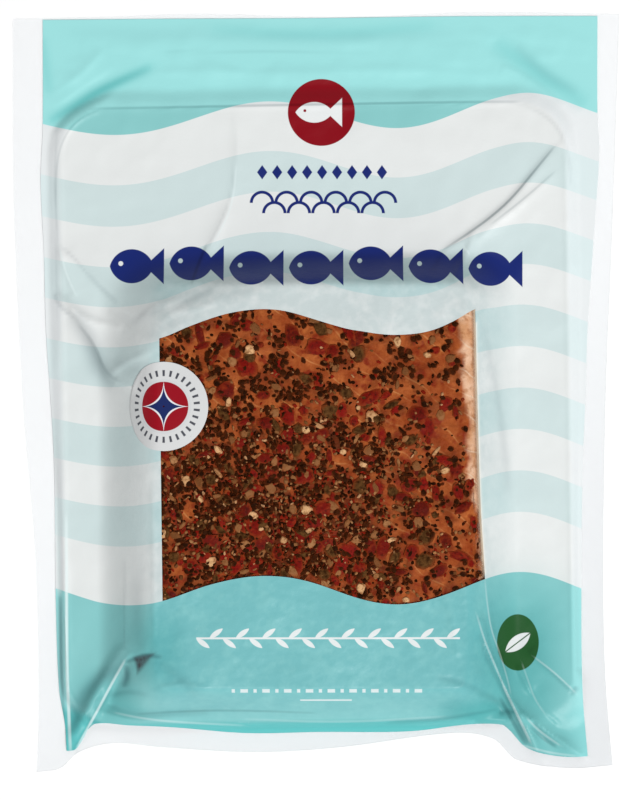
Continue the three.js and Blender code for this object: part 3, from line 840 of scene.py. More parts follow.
# Folds: height (less than 0 is a groove), width to the left and to the right of the path as it is
# walked, how sharp the crest is (1 is a crease, 2 is rounded), and the path.
FOLDS = [
    # the long crease at the upper right and the short ones beside it
    (1.1, 6.5, 0.7, 1.1, [
        (66.8, 68.7), (61, 61.5), (55.2, 54.2), (49.3, 48.9), (42.6, 44.1), (35.8, 39.7),
    ]),
    (0.5, 2.6, 0.6, 1.1, [(66.8, 61.5), (58.1, 53.7), (49.3, 46.9), (44, 42.5)]),
    (1.1, 1.3, 0.8, 1.0, [(44, 45), (42.9, 40.5), (40.6, 36), (38.6, 32)]),
    (0.35, 0.8, 1.0, 1.2, [(54.3, 82.5), (61.3, 79.7), (68.3, 73.5), (70.3, 69.3)]),
    (0.6, 1.1, 0.7, 1.0, [(47.9, 13.3), (49.3, 6.3), (50.7, -2.1), (51.5, -7.7)]),
    (0.45, 0.8, 0.8, 1.0, [(38, 24), (43.5, 23.5), (47.5, 17.5), (48, 9)]),
    # the bright fold at the upper left
    (0.45, 2.4, 0.8, 1.1, [
        (-23.1, 77.4), (-22.7, 65.6), (-24, 54.8), (-26.7, 47.6), (-30.3, 41.3), (-33, 36),
    ]),
    (0.5, 0.7, 1.6, 1.0, [(-24.5, 51.5), (-27.6, 43.5), (-31.5, 36.5), (-34.5, 31)]),
    # the bundle that runs in from the left edge to the badge
    (2.3, 4.0, 1.0, 1.1, [(-71, 27), (-65.2, 18.4), (-61.8, 13), (-59.1, 6.1), (-55.6, 2.7), (-50, 1)]),
    (1.1, 1.6, 0.7, 1.0, [(-57.7, 4.9), (-52.7, 8.7), (-46.1, 11.1)]),
    (1.2, 1.1, 1.8, 1.0, [(-72.8, 27.3), (-68, 23.2), (-62.4, 19.7), (-54.3, 18.4)]),
    (1.1, 2.8, 0.9, 1.1, [(-70.7, 39.1), (-62.4, 32.1), (-55.7, 25.3), (-50, 21)]),
    (0.7, 1.2, 0.8, 1.0, [(-72, 40.5), (-70, 32.9), (-67.3, 27.3)]),
    (0.8, 1.4, 0.7, 1.0, [(-58, 23), (-52, 17.5), (-48.5, 11.8)]),
    (0.7, 1.0, 1.4, 1.0, [(-50, 20), (-45, 24.5), (-38, 26)]),
    (0.6, 1.4, 0.7, 1.0, [(-44, 18), (-40, 22.5), (-31, 23.5), (-25, 27)]),
    # the leg at the lower left, its pocket, and what is drawn in beside it
    (1.3, 0.9, 0.9, 0.9, [
        (-52, -72.5), (-53.8, -75.5), (-57.1, -81.3), (-60.5, -87.8), (-63.8, -93.7),
        (-69.5, -103.5),
    ]),
    (2.2, 2.2, 1.8, 1.9, [(-53.5, -71), (-58, -77.6), (-61.9, -84.9), (-65.2, -91.5), (-68.6, -97.5)]),
    (-1.2, 2.4, 1.6, 1.5, [(-53, -77), (-56.4, -83.5), (-60.2, -90.5)]),
    (-1.0, 1.6, 2.4, 1.2, [(-41.8, -58.6), (-41.2, -68.5), (-43.4, -72.4), (-46.5, -74.2)]),
    (1.3, 1.6, 1.2, 1.2, [(-62, -89), (-55, -91.3), (-49.3, -92.2), (-38, -92.8)]),
    (-1.2, 1.2, 1.8, 1.2, [(-59.1, -87), (-47.9, -89.6), (-36.7, -89.8), (-22, -88.3)]),
    (0.6, 0.8, 1.6, 1.1, [(-44, -82.5), (-37, -81), (-30, -82.8)]),
    (0.3, 0.6, 0.6, 1.1, [(-53.5, -46.9), (-53.7, -60), (-53.9, -73)]),
    (0.35, 0.6, 0.6, 1.1, [(-45.6, -24.5), (-45.3, -48), (-45.1, -72.5)]),
    # the pleats at the lower right
    (0.9, 0.6, 0.7, 1.0, [(47.6, -54), (47.9, -58.7), (49, -65.9), (51.5, -75.7), (53.4, -80)]),
    (2.9, 1.5, 1.2, 1.1, [
        (45.5, -62.5), (48.2, -72.9), (53.5, -83.5), (55.7, -88.6), (60.7, -97.9), (63.5, -103),
    ]),
    (1.2, 0.7, 0.6, 1.0, [(55.5, -86.8), (57.6, -90.3), (60.2, -95.4), (62.4, -98.6)]),
    (1.1, 0.8, 0.7, 1.0, [(56.2, -76.5), (57.7, -79.6), (61.3, -86.1), (65.2, -90.6), (68.2, -93)]),
    (2.4, 1.6, 1.2, 1.1, [(57, -89.5), (60.4, -92), (65.8, -95.9), (71.4, -99.8), (75, -102.3)]),
    (1.3, 2.2, 0.7, 1.0, [(59.9, -72.4), (61.9, -74.3), (65.8, -78), (72.1, -83.5)]),
    (-1.2, 1.8, 1.6, 1.5, [(46.5, -86), (50.5, -87.3), (54.5, -91.5)]),
    (-0.8, 1.6, 1.6, 1.5, [(60, -83), (63, -88), (67.5, -93.5)]),
    (0.7, 1.0, 1.8, 1.1, [(36, -57), (38.5, -64), (40, -74)]),
    # the corners of the board and the slack film above it
    (-1.0, 2.2, 1.8, 1.6, [(-77, 74.5), (-69, 79.2), (-62.5, 83.8), (-55, 88), (-47, 92)]),
    (0.5, 2.0, 1.8, 1.3, [(-74, 72), (-66, 77.5), (-56, 84.5)]),
    (0.35, 2.0, 2.0, 1.3, [(-74, 80), (-66, 85.5), (-56, 91.5)]),
    (0.5, 1.6, 2.4, 1.2, [(-74, 84), (-66, 89.5), (-60, 96)]),
    (-1.0, 2.6, 3.0, 1.6, [(50, 98.5), (58, 92.8), (64, 88.3), (70.5, 84.5), (77, 80)]),
    (0.7, 1.8, 2.2, 1.2, [(52, 92), (60, 88.5), (70, 80)]),
    (-0.2, 0.7, 0.7, 1.2, [(-46, 95.6), (-12, 95.9), (22, 95.6)]),
    (-0.8, 2.6, 2.0, 1.5, [(-62, 101.5), (-40, 100.2), (-14, 101.2), (6, 99.8)]),
    (-0.8, 2.2, 2.6, 1.5, [(8, 101), (26, 99.7), (46, 101.6), (66, 99.5)]),
    (0.4, 1.6, 2.6, 1.3, [(-60, 88), (-36, 90.6), (-8, 89.5), (26, 91), (48, 89)]),
]

# Pinches: grooves where the film is nipped together, with painted shade along them. Each has how dark
# the painted shade is (which also sets the groove's depth), half its width and its path. The broadest
# and faintest are painted shade only, over a slack place.
PINCHES_AND_SHADE = [
    # the bundle at the left, the left edge and the upper left fold
    (0.85, 2.7, [(-68.3, 22.5), (-64.7, 16.4), (-62.2, 11.3), (-60.8, 7.4), (-58.7, 4.3), (-56.1, 2.4)]),
    (0.6, 0.6, [(-73.6, 27.9), (-72, 24.2), (-66.4, 19.7), (-61.9, 15.3)]),
    (0.35, 0.4, [(-71.9, 41.3), (-68.5, 38.5), (-65.5, 34.9), (-61, 29.5)]),
    (0.35, 0.7, [(-64.7, 34), (-60, 29), (-55.7, 25.1)]),
    (0.3, 2.2, [(-57.5, 8.5), (-52, 6.8), (-46, 5)]),
    (0.35, 0.3, [(-72.9, 74), (-73.3, 60), (-72.9, 50), (-72.7, 28.7), (-72.1, 14.7)]),
    (0.3, 0.4, [(-23.1, 77.4), (-22.7, 65.6), (-24, 54.8), (-26.7, 47.6), (-30.3, 41.3), (-33, 37)]),
    (0.45, 0.5, [(-30.8, 41.3), (-32.8, 36.5), (-34.7, 30.7)]),
    # the marbled slope between the row of fish and the window
    (0.4, 1.2, [(-52, 19.5), (-46.5, 22.5), (-42.3, 23.7)]),
    (0.45, 0.9, [(-39.5, 23.5), (-33.9, 26.5), (-29, 29)]),
    (0.3, 1.6, [(-48, 15), (-43, 18.5), (-38, 20.5)]),
    (0.25, 1.0, [(-27, 25.5), (-21, 28.5), (-15, 29)]),
    # the crease at the upper right
    (0.3, 0.9, [(66.8, 69.2), (61, 62.2), (55, 54.9), (49.1, 49.6), (42.4, 44.8), (35.6, 40.3)]),
    (0.4, 0.8, [(35.8, 39.9), (33.9, 36.5), (32.5, 33.7)]),
    # the leg at the lower left and its pocket
    (0.9, 2.3, [(-53.2, -75.9), (-60.2, -79.6), (-65.4, -84.6), (-67.8, -90.5), (-68.3, -96)]),
    (1.3, 0.9, [(-53.4, -76.2), (-52.7, -79.4), (-54, -82.4)]),
    (1.4, 0.6, [(-53.6, -75.6), (-50, -74), (-47.5, -73.2), (-43, -73.9)]),
    (0.45, 0.8, [(-62.5, -86.5), (-57, -84.6), (-52, -83.6), (-47.5, -84.6)]),
    (0.8, 0.9, [(-64.6, -90.4), (-62.4, -92.3), (-60.6, -93)]),
    (0.45, 1.0, [(-57.1, -83.3), (-59.4, -86.1), (-61.3, -89.5)]),
    (0.55, 0.9, [(-57.7, -87.8), (-53.5, -89.5), (-47.9, -90.6), (-38.1, -90), (-29.7, -89.5)]),
    (0.3, 1.4, [(-44, -75), (-38, -79.5), (-33, -85)]),
    (0.8, 0.9, [(-71.9, -57), (-71.8, -66), (-71.8, -75), (-71.4, -86), (-70.8, -95)]),
    (0.35, 0.35, [(-53.5, -47), (-53.6, -60), (-53.7, -72)]),
    (0.3, 1.6, [(-50, -50), (-50, -62), (-49.5, -71)]),
    # the pleats at the lower right, and the slope to the right of the fish
    (0.5, 1.1, [(44.8, -83.6), (49.6, -85.6), (52.4, -88.3), (54.9, -90.8)]),
    (1.0, 0.9, [(51.3, -89.9), (53.5, -89.4), (55.9, -89.7)]),
    (0.9, 0.9, [(55.6, -90.6), (57.6, -95.3), (59.4, -98.6)]),
    (0.7, 0.7, [(60.8, -92.4), (64.1, -96.5), (67.4, -98.9)]),
    (0.5, 0.6, [(62.2, -74.6), (66.4, -78.8), (72, -84.4)]),
    (0.8, 0.8, [(71.4, -84.6), (72.6, -83.6), (73, -82.4)]),
    (0.7, 0.8, [(45.9, -67), (47.4, -73.6), (52.4, -83.6), (55, -88.6)]),
    (0.6, 0.5, [(20, -92.6), (31.9, -92), (43.1, -90.3), (51, -88.9)]),
    (0.4, 0.9, [(34, -79.5), (41, -81.2), (47.4, -84.4)]),
    (0.2, 10, [(54, -60), (56, -75), (60, -92)]),
    (0.35, 1.2, [(46.2, 19), (48.6, 9), (51.2, -4), (53.2, -17), (54, -28)]),
    # the board's edge and corners, and the band above it
    (0.3, 0.5, [(54, 81.6), (62, 79.4), (68, 74.5), (71, 67), (71.5, 58)]),
    (0.25, 0.3, [(-43, 95.6), (-12, 95.8), (20, 95.6)]),
    (0.3, 1.5, [(56, 97.5), (64.1, 89.4), (73.5, 84.2)]),
    (0.3, 1.3, [(-73, 77), (-60.5, 85.3), (-47, 90.6)]),
    (0.2, 1.8, [(-70, 101), (-32, 100.6), (4, 99.4), (40, 101)]),
]
PINCH_DEPTH = 0.35
FILM_OFF_FLESH = 0.42

# Fine lines: painted highlights along the film's sharpest bends, and painted shade (less than 0) where
# it is nipped together. Each has how strong it is, half its width and its path. They are dealt out to
# groups in turn, and two lines that lie near each other are in different groups.
HIGHLIGHT_AND_SHADE_LINES = [
    (0.8, 0.34, [(-53.4, -74.8), (-57.1, -81.3), (-60.5, -87.8), (-63.8, -93.7), (-67.2, -99.8)]),
    (1.0, 0.42, [(-70.1, -34), (-70.0, -52), (-69.9, -75), (-69.5, -88), (-68.9, -101)]),
    (0.35, 0.3, [(-56.5, -89.8), (-50, -91.2), (-40, -92.4), (-20, -93.4)]),
    (0.42, 0.26, [(44.9, -62), (47, -69), (49.3, -74.5), (51.5, -79.7), (54, -85.3)]),
    (0.35, 0.22, [(47.2, -52), (47.9, -59.2), (49, -66.5), (51.5, -73), (53.6, -80), (54.6, -84.5)]),
    (0.6, 0.34, [(52.4, -82), (55.4, -88.3), (58.2, -94), (60.2, -98.2)]),
    (0.22, 0.24, [(57.8, -76), (59.4, -80.5), (61.3, -86), (64.5, -90.6)]),
    (0.42, 0.3, [(59.2, -91.4), (62.6, -95), (68.5, -99.1)]),
    (0.38, 0.26, [(61.2, -74.2), (67.2, -78.8), (72.7, -84.1)]),
    (0.35, 0.3, [(55, -98.4), (61, -99.8), (66, -101.2), (73, -102)]),
    (-0.7, 0.5, [(51.6, -85.5), (54, -90), (56.6, -95), (58.6, -98.4)]),
    (-0.55, 0.4, [(60.2, -93.8), (63.5, -97), (67.5, -99.6)]),
    (0.4, 0.3, [(-72, 40.5), (-70, 32.9), (-67.3, 27.3)]),
    (0.4, 0.3, [(-22.3, 64), (-23.2, 54), (-25.8, 47), (-29.4, 41)]),
    (-0.25, 0.3, [(-73, 52), (-73, 62), (-71.6, 70), (-67.6, 76), (-61, 79.2)]),
    (-0.6, 0.35, [(-63, 79.6), (-32, 80.2), (4, 80.9), (40, 81.5), (57, 81.6)]),
    (0.5, 0.3, [(41.2, 41.4), (43.2, 38.4)]),
    (0.2, 0.3, [(-20, -91.6), (8, -92.6), (36, -90.8)]),
    (-0.8, 0.3, [(66.8, 68.9), (61, 61.8), (55, 54.5), (49.1, 49.2), (42.4, 44.4), (35.6, 40)]),
    (-0.45, 0.3, [(-50, -90.1), (-36, -89.2), (-20, -89), (0, -89.8)]),
    (-0.35, 0.3, [(66.8, 61.8), (58, 54), (49.1, 47.2)]),
    (-0.5, 0.4, [(-30.8, 41.3), (-32.8, 36.5), (-34.7, 30.7)]),
    (-0.3, 0.45, [(-66.4, 18.7), (-63.2, 15), (-61.2, 11.3), (-59.8, 7.4), (-57.7, 4.6), (-54.9, 3)]),
    (-0.5, 0.4, [(-71.8, -57), (-71.7, -66), (-71.5, -78), (-70.8, -92)]),
    (0.8, 0.7, [(-72.4, -28), (-72.3, -40), (-72.1, -50), (-72.0, -56.5)]),
]
LINE_GROUPS = 3

# The pocket: the mouth of a fold, where the film turns under itself and lies in shade, which is painted
# dark grey on the print.
POCKET = [(-51.0, -74.0), (-45.2, -72.9), (-49.9, -78.4)]
POCKET_DEPTH = 0.9

# Where the film is drawn together the print gets painted shade, darker and more saturated: along lines,
# which are given as the pinches are, and in patches, with their place, half sizes and how strong the
# painted shade is.
DRAWN_IN_SHADE_LINES = [
    (0.8, 1.5, [(-75, 76), (-67.5, 80.5), (-61.9, 84.1), (-54.9, 87.5), (-46, 91.5)]),
    (0.4, 2.6, [(50, 98.2), (58, 92.8), (63.3, 88.6), (69, 85.4), (76, 80.5)]),
    (0.3, 1.5, [(-77, 100), (-76, 92), (-75, 84)]),
    (0.25, 2.0, [(-30, 102), (0, 100), (34, 103)]),
]
DRAWN_IN_SHADE_PATCHES = [
    (56, -77, 14, 22, 0.75),
    (-58, -88, 10, 9, 0.5),
    (46, -90, 12, 5, 0.9),
    (-45, -72, 8, 10, 0.5),
]


def along_path(x, y, path):
    """Distance to a path, positive to its left, and how far along it the nearest point is."""
    nearest = np.full(np.shape(x), np.inf)
    side, share = np.zeros_like(nearest), np.zeros_like(nearest)
    for i, ((ax, ay), (bx, by)) in enumerate(zip(path, path[1:])):
        ex, ey = bx - ax, by - ay
        t = np.clip(((x - ax) * ex + (y - ay) * ey) / (ex * ex + ey * ey), 0, 1)
        distance = np.hypot(x - ax - ex * t, y - ay - ey * t)
        closer = distance < nearest
        nearest = np.where(closer, distance, nearest)
        side = np.where(closer, np.sign(ex * (y - ay) - ey * (x - ax)), side)
        share = np.where(closer, (i + t) / (len(path) - 1), share)
    return nearest * np.where(side == 0, 1, side), share


def rounded_path(path):
    """The path with its corners rounded by two rounds of corner cutting."""
    points = np.array(path, float)
    for _ in range(2):
        cut = [points[0]]
        for a, b in zip(points, points[1:]):
            cut += [0.75 * a + 0.25 * b, 0.25 * a + 0.75 * b]
        points = np.array(cut + [points[-1]])
    return [tuple(p) for p in points]


def folded(x, y):
    """What the folds add to the film's height."""
    total = np.zeros(np.shape(x))
    for height, left, right, sharpness, path in FOLDS:
        distance, share = along_path(x, y, rounded_path(path))
        taper = np.sqrt(np.sin(math.pi * np.clip(share, 0.02, 0.98)))
        width = np.where(distance > 0, left, right)
        total += height * taper * np.exp(-(np.abs(distance) / width) ** sharpness)
    return total


def pocketed(x, y):
    """1 inside the pocket, 0 outside it."""
    inside = np.full(np.shape(x), np.inf)
    for (ax, ay), (bx, by) in zip(POCKET, POCKET[1:] + POCKET[:1]):
        edge = math.hypot(bx - ax, by - ay)
        inside = np.minimum(inside, ((y - ay) * (bx - ax) - (x - ax) * (by - ay)) / -edge)
    return eased_step(inside, -0.6, 0.8)


def lined(x, y, lines):
    """How strongly thin lines run here. Each has its strength, half its width and its path."""
    total = np.zeros(np.shape(x))
    for strength, half_width, path in lines:
        distance, share = along_path(x, y, rounded_path(path))
        fading = np.sqrt(np.sin(math.pi * np.clip(share, 0.01, 0.99)))
        total = np.maximum(total, strength * fading * np.exp(-(distance / half_width) ** 2))
    return total


def fine_lines(x, y, lines):
    """Distance to the nearest line, as a multiple of half its width, and how strong it is."""
    off, bright = np.full(np.shape(x), 9.0), np.zeros(np.shape(x))
    for strength, half_width, path in lines:
        distance, share = along_path(x, y, rounded_path(path))
        fading = np.sqrt(np.sin(math.pi * np.clip(share, 0.01, 0.99)))
        widths_off = distance / half_width
        closer = np.abs(widths_off) < np.abs(off)
        off = np.where(closer, widths_off, off)
        near = 1 - eased_step(np.abs(distance), 0.7, 1.3)
        bright = np.where(closer, strength * fading * near, bright)
    return off, bright


def drawn_in_shade(x, y):
    """How strong the painted shade is where the film is drawn together."""
    beyond_bottom = eased_step(rounded_box(x, y, BOARD)[0], -1.2, 0.5) * eased_step(-y, 86, 91)
    density = [beyond_bottom * (1 - 0.6 * eased_step(x, 40, 60))]
    for at_x, at_y, half_width, half_height, most in DRAWN_IN_SHADE_PATCHES:
        off_x, off_y = np.abs((x - at_x) / half_width), np.abs((y - at_y) / half_height)
        density.append(most * np.exp(-off_x ** 3 - off_y ** 3))
    return np.max(density + [lined(x, y, DRAWN_IN_SHADE_LINES)], axis=0)


def film_height(x, y):
    """Height of the outside of the film anywhere on the pack.

    It lies on the board and drops to the sealed edge all round it, more slowly where it is slack,
    with a fine bead along the lower left where it is bent over the board's edge. It is stretched
    from the board up to the fish.
    """
    lower_down = np.clip(-y / BOARD_LEAN["for_each"], 0, BOARD_LEAN["at_most"])
    lean = BOARD_LEAN["outwards"] * lower_down * (x < 0)
    beyond_board, way_x, way_y = rounded_box(x - lean, y, BOARD)
    drop = EDGE_DROP["least"] + EDGE_DROP["above_middle"] * eased_step(y, -40, 10)
    drop = drop + EDGE_DROP["at_top"] * np.maximum(way_y, 0) ** 2
    drop = drop + EDGE_DROP["slack_corner"] * np.maximum(-way_x * way_y, 0) * (way_x > 0)
    on_board = 1 - eased_step(beyond_board, 0, drop)
    beyond_fish = rounded_box(x, y, FILLET)[0]
    stretch = STRETCH["height"] * (1 - np.clip(beyond_fish / STRETCH["reach"], 0, 1)) ** 2
    stretch *= 1 - STRETCH["lost_at_right"] * eased_step(x, 40, 56)
    share = shoulder_share(x, y)
    flat = SEAL_THICKNESS + (BOARD_TOP - SEAL_THICKNESS) * on_board + stretch * on_board * (1 - share)
    lower_left = eased_step(-x, 60, 68) * eased_step(-y, 40, 62) * eased_step(y, -98, -92)
    bead_height = BEAD["height"] * eased_step(y, -86, -62) + BEAD["more_lower_left"] * lower_left
    off_bead = np.abs((beyond_board + BEAD["inside"]) / BEAD["half_width"])
    bead = bead_height * np.exp(-off_bead ** 1.4)
    height = flat * (1 - share) + film_over_fish(x, y) * share + bead + folded(x, y)
    height -= POCKET_DEPTH * pocketed(x, y)
    return np.maximum(height, SEAL_THICKNESS)


def ways_out(place):
    """The way straight out of a grid of places, at each of them."""
    along_x = np.gradient(place, axis=0)
    along_y = np.gradient(place, axis=1)
    out = np.cross(along_x, along_y)
    return out / np.linalg.norm(out, axis=-1, keepdims=True)


# The outline of the print: its left and right edge from the bottom up, and its top and bottom
# edge from left to right.
PRINT_LEFT = smooth_curve([
    (-101, -70), (-93, -70.5), (-83.3, -72.1), (-60, -73), (-24.5, -73.4), (-13.3, -73.8),
    (-2.1, -74.5), (17.5, -75.8), (39.9, -76.4), (59.5, -77.3), (74.9, -76.7), (105, -76.7),
])
PRINT_RIGHT = smooth_curve([
    (-102.5, 76.3), (-83.3, 74.8), (-52.5, 74.5), (-21.7, 74.8), (-2.1, 75.6), (17.5, 76.2),
    (34.3, 77.3), (53.9, 78.7), (67.9, 79.5), (78.3, 79), (106, 79),
])
PRINT_TOP = smooth_curve([(-77, 104.6), (-40, 104.9), (0, 105.1), (40, 105.6), (79, 105.7)])
PRINT_BOTTOM = smooth_curve([
    (-72, -100.5), (-67.6, -100.2), (-65.4, -97.2), (-63, -93.2), (-52, -93.4), (-40.6, -93.9),
    (-19.9, -95.6), (1.1, -95.3), (26.3, -95.1), (43.4, -93.1), (52.6, -93.3), (54.6, -95),
    (58.5, -99.3), (64, -101.4), (70.6, -102.3), (76.4, -102.1),
])
LEFT_STRIPS, WINDOW_COLUMNS, RIGHT_STRIPS = 58, 104, 54
LOWER_STRIPS, WINDOW_ROWS, UPPER_STRIPS = 76, 88, 106
front_columns = [
    (PRINT_LEFT, LEFT_STRIPS),
    (window_left, WINDOW_COLUMNS),
    (window_right, RIGHT_STRIPS),
    (PRINT_RIGHT, 0),
]
front_rows = [
    (PRINT_BOTTOM, LOWER_STRIPS),
    (window_bottom, WINDOW_ROWS),
    (window_top, UPPER_STRIPS),
    (PRINT_TOP, 0),
]
front_x, front_y = crossings(front_columns, front_rows)
over_fish = shoulder_share(front_x, front_y)
crust_under = 0.2 * np.abs(patches(front_x, front_y, 4.2, 6.6, 3)) * over_fish
inside_print = np.minimum.reduce([
    front_x - PRINT_LEFT(front_y), PRINT_RIGHT(front_y) - front_x,
    front_y - PRINT_BOTTOM(front_x), PRINT_TOP(front_x) - front_y,
])
slack = 0.3 * patches(front_x, front_y, 13, 9.9, 3) * (1 - over_fish)
slack += 0.35 * patches(front_x * 0.35, front_y, 7, 2.9, 2) * eased_step(front_y, 78, 90)
slack *= eased_step(inside_print, 0, 5)
pinch_and_shade = lined(front_x, front_y, PINCHES_AND_SHADE)
front_z = film_height(front_x, front_y) + crust_under + slack - PINCH_DEPTH * pinch_and_shade
front_z = np.maximum(front_z, flesh_height(front_x, front_y) + FILM_OFF_FLESH)
front_z = np.maximum(front_z, SEAL_THICKNESS)
front_outside = np.stack([front_x, front_y, front_z], -1)
front_inside = front_outside - ways_out(front_outside) * FRONT_THICKNESS
window_cells = np.ones((front_x.shape[0] - 1, front_x.shape[1] - 1), bool)
window_cells[
    LEFT_STRIPS:LEFT_STRIPS + WINDOW_COLUMNS,
    LOWER_STRIPS:LOWER_STRIPS + WINDOW_ROWS,
] = False

# A painted highlight runs along the window's right edge. The print is duller as far as the board goes
# under it, and at the lower right down to the print's bottom edge.
WINDOW_RIM = {"width": 0.4, "y": -15.5, "half_length": 35}
from_rim = (front_x - window_right(front_y)) / WINDOW_RIM["width"]
along_rim = np.abs(front_y - WINDOW_RIM["y"]) < WINDOW_RIM["half_length"]
window_rim = np.exp(-from_rim ** 2) * along_rim
to_bottom = {**BOARD, "y": BOARD["y"] - 10, "half_height": BOARD["half_height"] + 10, "corner": 3}
at_lower_right = eased_step(front_x, 44, 52) * eased_step(-front_y, 40, 60)
off_board = rounded_box(front_x, front_y, BOARD)[0] * (1 - at_lower_right)
off_board += rounded_box(front_x, front_y, to_bottom)[0] * at_lower_right
board_blur = 0.6 + 3 * at_lower_right * eased_step(-front_y, 78, 92)

# The fish seen through the ink dulls the print over it. Spread out over the slopes round the fish, this
# dulling is painted shade, lessened on the slopes at its two sides.
right_slope = 1 - 0.25 * eased_step(front_x, 44, 49)
left_slope = 1 - 0.75 * eased_step(-front_x, 43, 48)
front_marks = {
    "print_level": wave_level(front_x, front_y),
    "print_place": np.stack([front_x, front_y, 0 * front_x], -1),
    "over_fish": over_fish,
    "fish_and_slope_shade": over_fish ** 0.45 * right_slope * left_slope,
    "window_rim": window_rim,
    "on_board": 1 - eased_step(off_board / board_blur, -1, 1),
    "in_pocket": pocketed(front_x, front_y),
    "pinch_and_shade": pinch_and_shade,
    "drawn_in_shade": drawn_in_shade(front_x, front_y),
}
for group in range(LINE_GROUPS):
    off, bright = fine_lines(front_x, front_y, HIGHLIGHT_AND_SHADE_LINES[group::LINE_GROUPS])
    front_marks["line_off_%d" % group] = off
    front_marks["line_bright_%d" % group] = bright
printed_film = closed_shell("printed_film", front_outside, front_inside, window_cells, front_marks)

# The print: aqua above and below, and pale waves across the white middle. The ink is a little
# see-through, so it is brightest beyond the board, and duller over the board and the fish.
AQUA_TOP_LEVEL = 77.9
STRIPE_TOP_LEVEL, STRIPE_END_LEVEL, STRIPE_PITCH = 64.0, -44.0, 22.87
INK_EDGE = 0.16
NAVY, RED, LEAF_GREEN = seen(24, 40, 112), seen(138, 9, 24), seen(38, 90, 45)
PRINT_WHITE = seen(232, 235, 235)
DRAWN_IN_SHADE_TINT = (0.35, 0.72, 0.72, 1)
PINCH_SHADE_TINT = (0.52, 0.55, 0.57, 1)
SHADED_INK = (0.36, 0.42, 0.44, 1)


def edge_of(distance):
    """1 where a distance in millimetres is inside a shape, 0 outside, with a soft thin edge."""
    return (distance * (1 / INK_EDGE) + 0.5).share()


def film_inks(finish, level, on_board, over):
    """The waves as a colour, from the level, and how much the board and the fish are under it."""
    def over_ground(beyond, board, fish):
        return finish.lay(finish.lay(beyond, board, on_board), fish, over)

    white = over_ground(seen(232, 236, 237), seen(229, 232, 231), seen(198, 209, 209))
    pale = over_ground(seen(220, 234, 235), seen(206, 222, 222), seen(180, 205, 206))
    upper_aqua = over_ground(seen(160, 226, 225), seen(138, 202, 201), seen(122, 188, 190))
    lower_aqua = over_ground(seen(160, 223, 223), seen(138, 201, 201), seen(116, 185, 188))
    turn = (level * -1 + STRIPE_TOP_LEVEL) * (1 / STRIPE_PITCH)
    within = turn.worked("FRACT")
    striped = (level * -1 + STRIPE_TOP_LEVEL + 2).least(level - STRIPE_END_LEVEL)
    stripe = edge_of(((0.25 - (within - 0.25).size()) * STRIPE_PITCH).least(striped))
    colour = finish.lay(white, pale, stripe)
    colour = finish.lay(colour, upper_aqua, edge_of(level - AQUA_TOP_LEVEL))
    return finish.lay(colour, lower_aqua, edge_of(level * -1 + WINDOW["bottom"]))


def ellipse(x, y, half_width, half_height):
    """Distance inside an ellipse, about."""
    out = (x * (1 / half_width)).worked("POWER", 2.0) + (y * (1 / half_height)).worked("POWER", 2.0)
    return (1.0 - out.worked("SQRT")) * min(half_width, half_height)


def leaf(x, y, half_length, half_width):
    """Distance inside a leaf: what two crossing discs share."""
    radius = (half_length ** 2 + half_width ** 2) / (2 * half_width)
    offset = radius - half_width
    up = radius - ((x * x) + (y + offset) * (y + offset)).worked("SQRT")
    down = radius - ((x * x) + (y - offset) * (y - offset)).worked("SQRT")
    return up.least(down)


def little_fish(x, y, length, height):
    """Distance inside a plain fish shape that faces left: a leaf for its body, and a tail."""
    body = leaf(x + 0.12 * length, y, 0.4 * length, 0.5 * height)
    tail_x = x - 0.2 * length
    tail = ((tail_x * 0.75) - y.size() * 0.8 + 0.1 * height).least(0.27 * length - tail_x)
    eye_x, eye_y = x + 0.32 * length, y - 0.08 * height
    eye = 0.07 * height - (eye_x * eye_x + eye_y * eye_y).worked("SQRT")
    return body.most(tail).least(eye * -1)


def repeated(x, start, pitch, count):
    """A row of like shapes: place within each, how far inside the row's ends, and which it is."""
    from_start = x - start
    within = (from_start * (1 / pitch)).worked("FRACT") * pitch - pitch / 2
    inside = from_start.least((from_start * -1) + pitch * count)
    return within, inside, (from_start * (1 / pitch)).worked("FLOOR")


film = Finish("printed film", roughness=0.34, specular=0.13)
place_x, place_y = film.marked_place("print_place")
mottled = film.speckled(5, 3, 0.3, 0.7) * 0.6 + film.speckled(2, 2, 0.35, 0.65) * 0.25
# Over the fish the print is dulled in patches: the fish seen through it, and on its slopes painted
# shade.
fish_shade = (film.mark("fish_and_slope_shade") * (mottled + 0.5)).share()
inks = film_inks(film, film.mark("print_level"), film.mark("on_board"), fish_shade)
# Painted shade where the film is drawn together.
inks = film.lay(inks, DRAWN_IN_SHADE_TINT, film.mark("drawn_in_shade"), "MULTIPLY")

# A row of seven navy fish stands across the pack above the window, each a little up or down.
FISH_ROW = {"start": -58.2, "pitch": 16.75, "count": 7, "y": 35.4, "up_or_down": 0.8}
ROW_FISH_LENGTH, ROW_FISH_HEIGHT = 15.4, 9.6
along_fish, row_reach, which_fish = repeated(
    place_x, FISH_ROW["start"], FISH_ROW["pitch"], FISH_ROW["count"])
rocking = (which_fish * 1.9).worked("SINE") * FISH_ROW["up_or_down"]
fish_row = little_fish(
    along_fish, place_y - FISH_ROW["y"] - rocking, ROW_FISH_LENGTH, ROW_FISH_HEIGHT)
inks = film.lay(inks, NAVY, edge_of(fish_row.least(row_reach)))

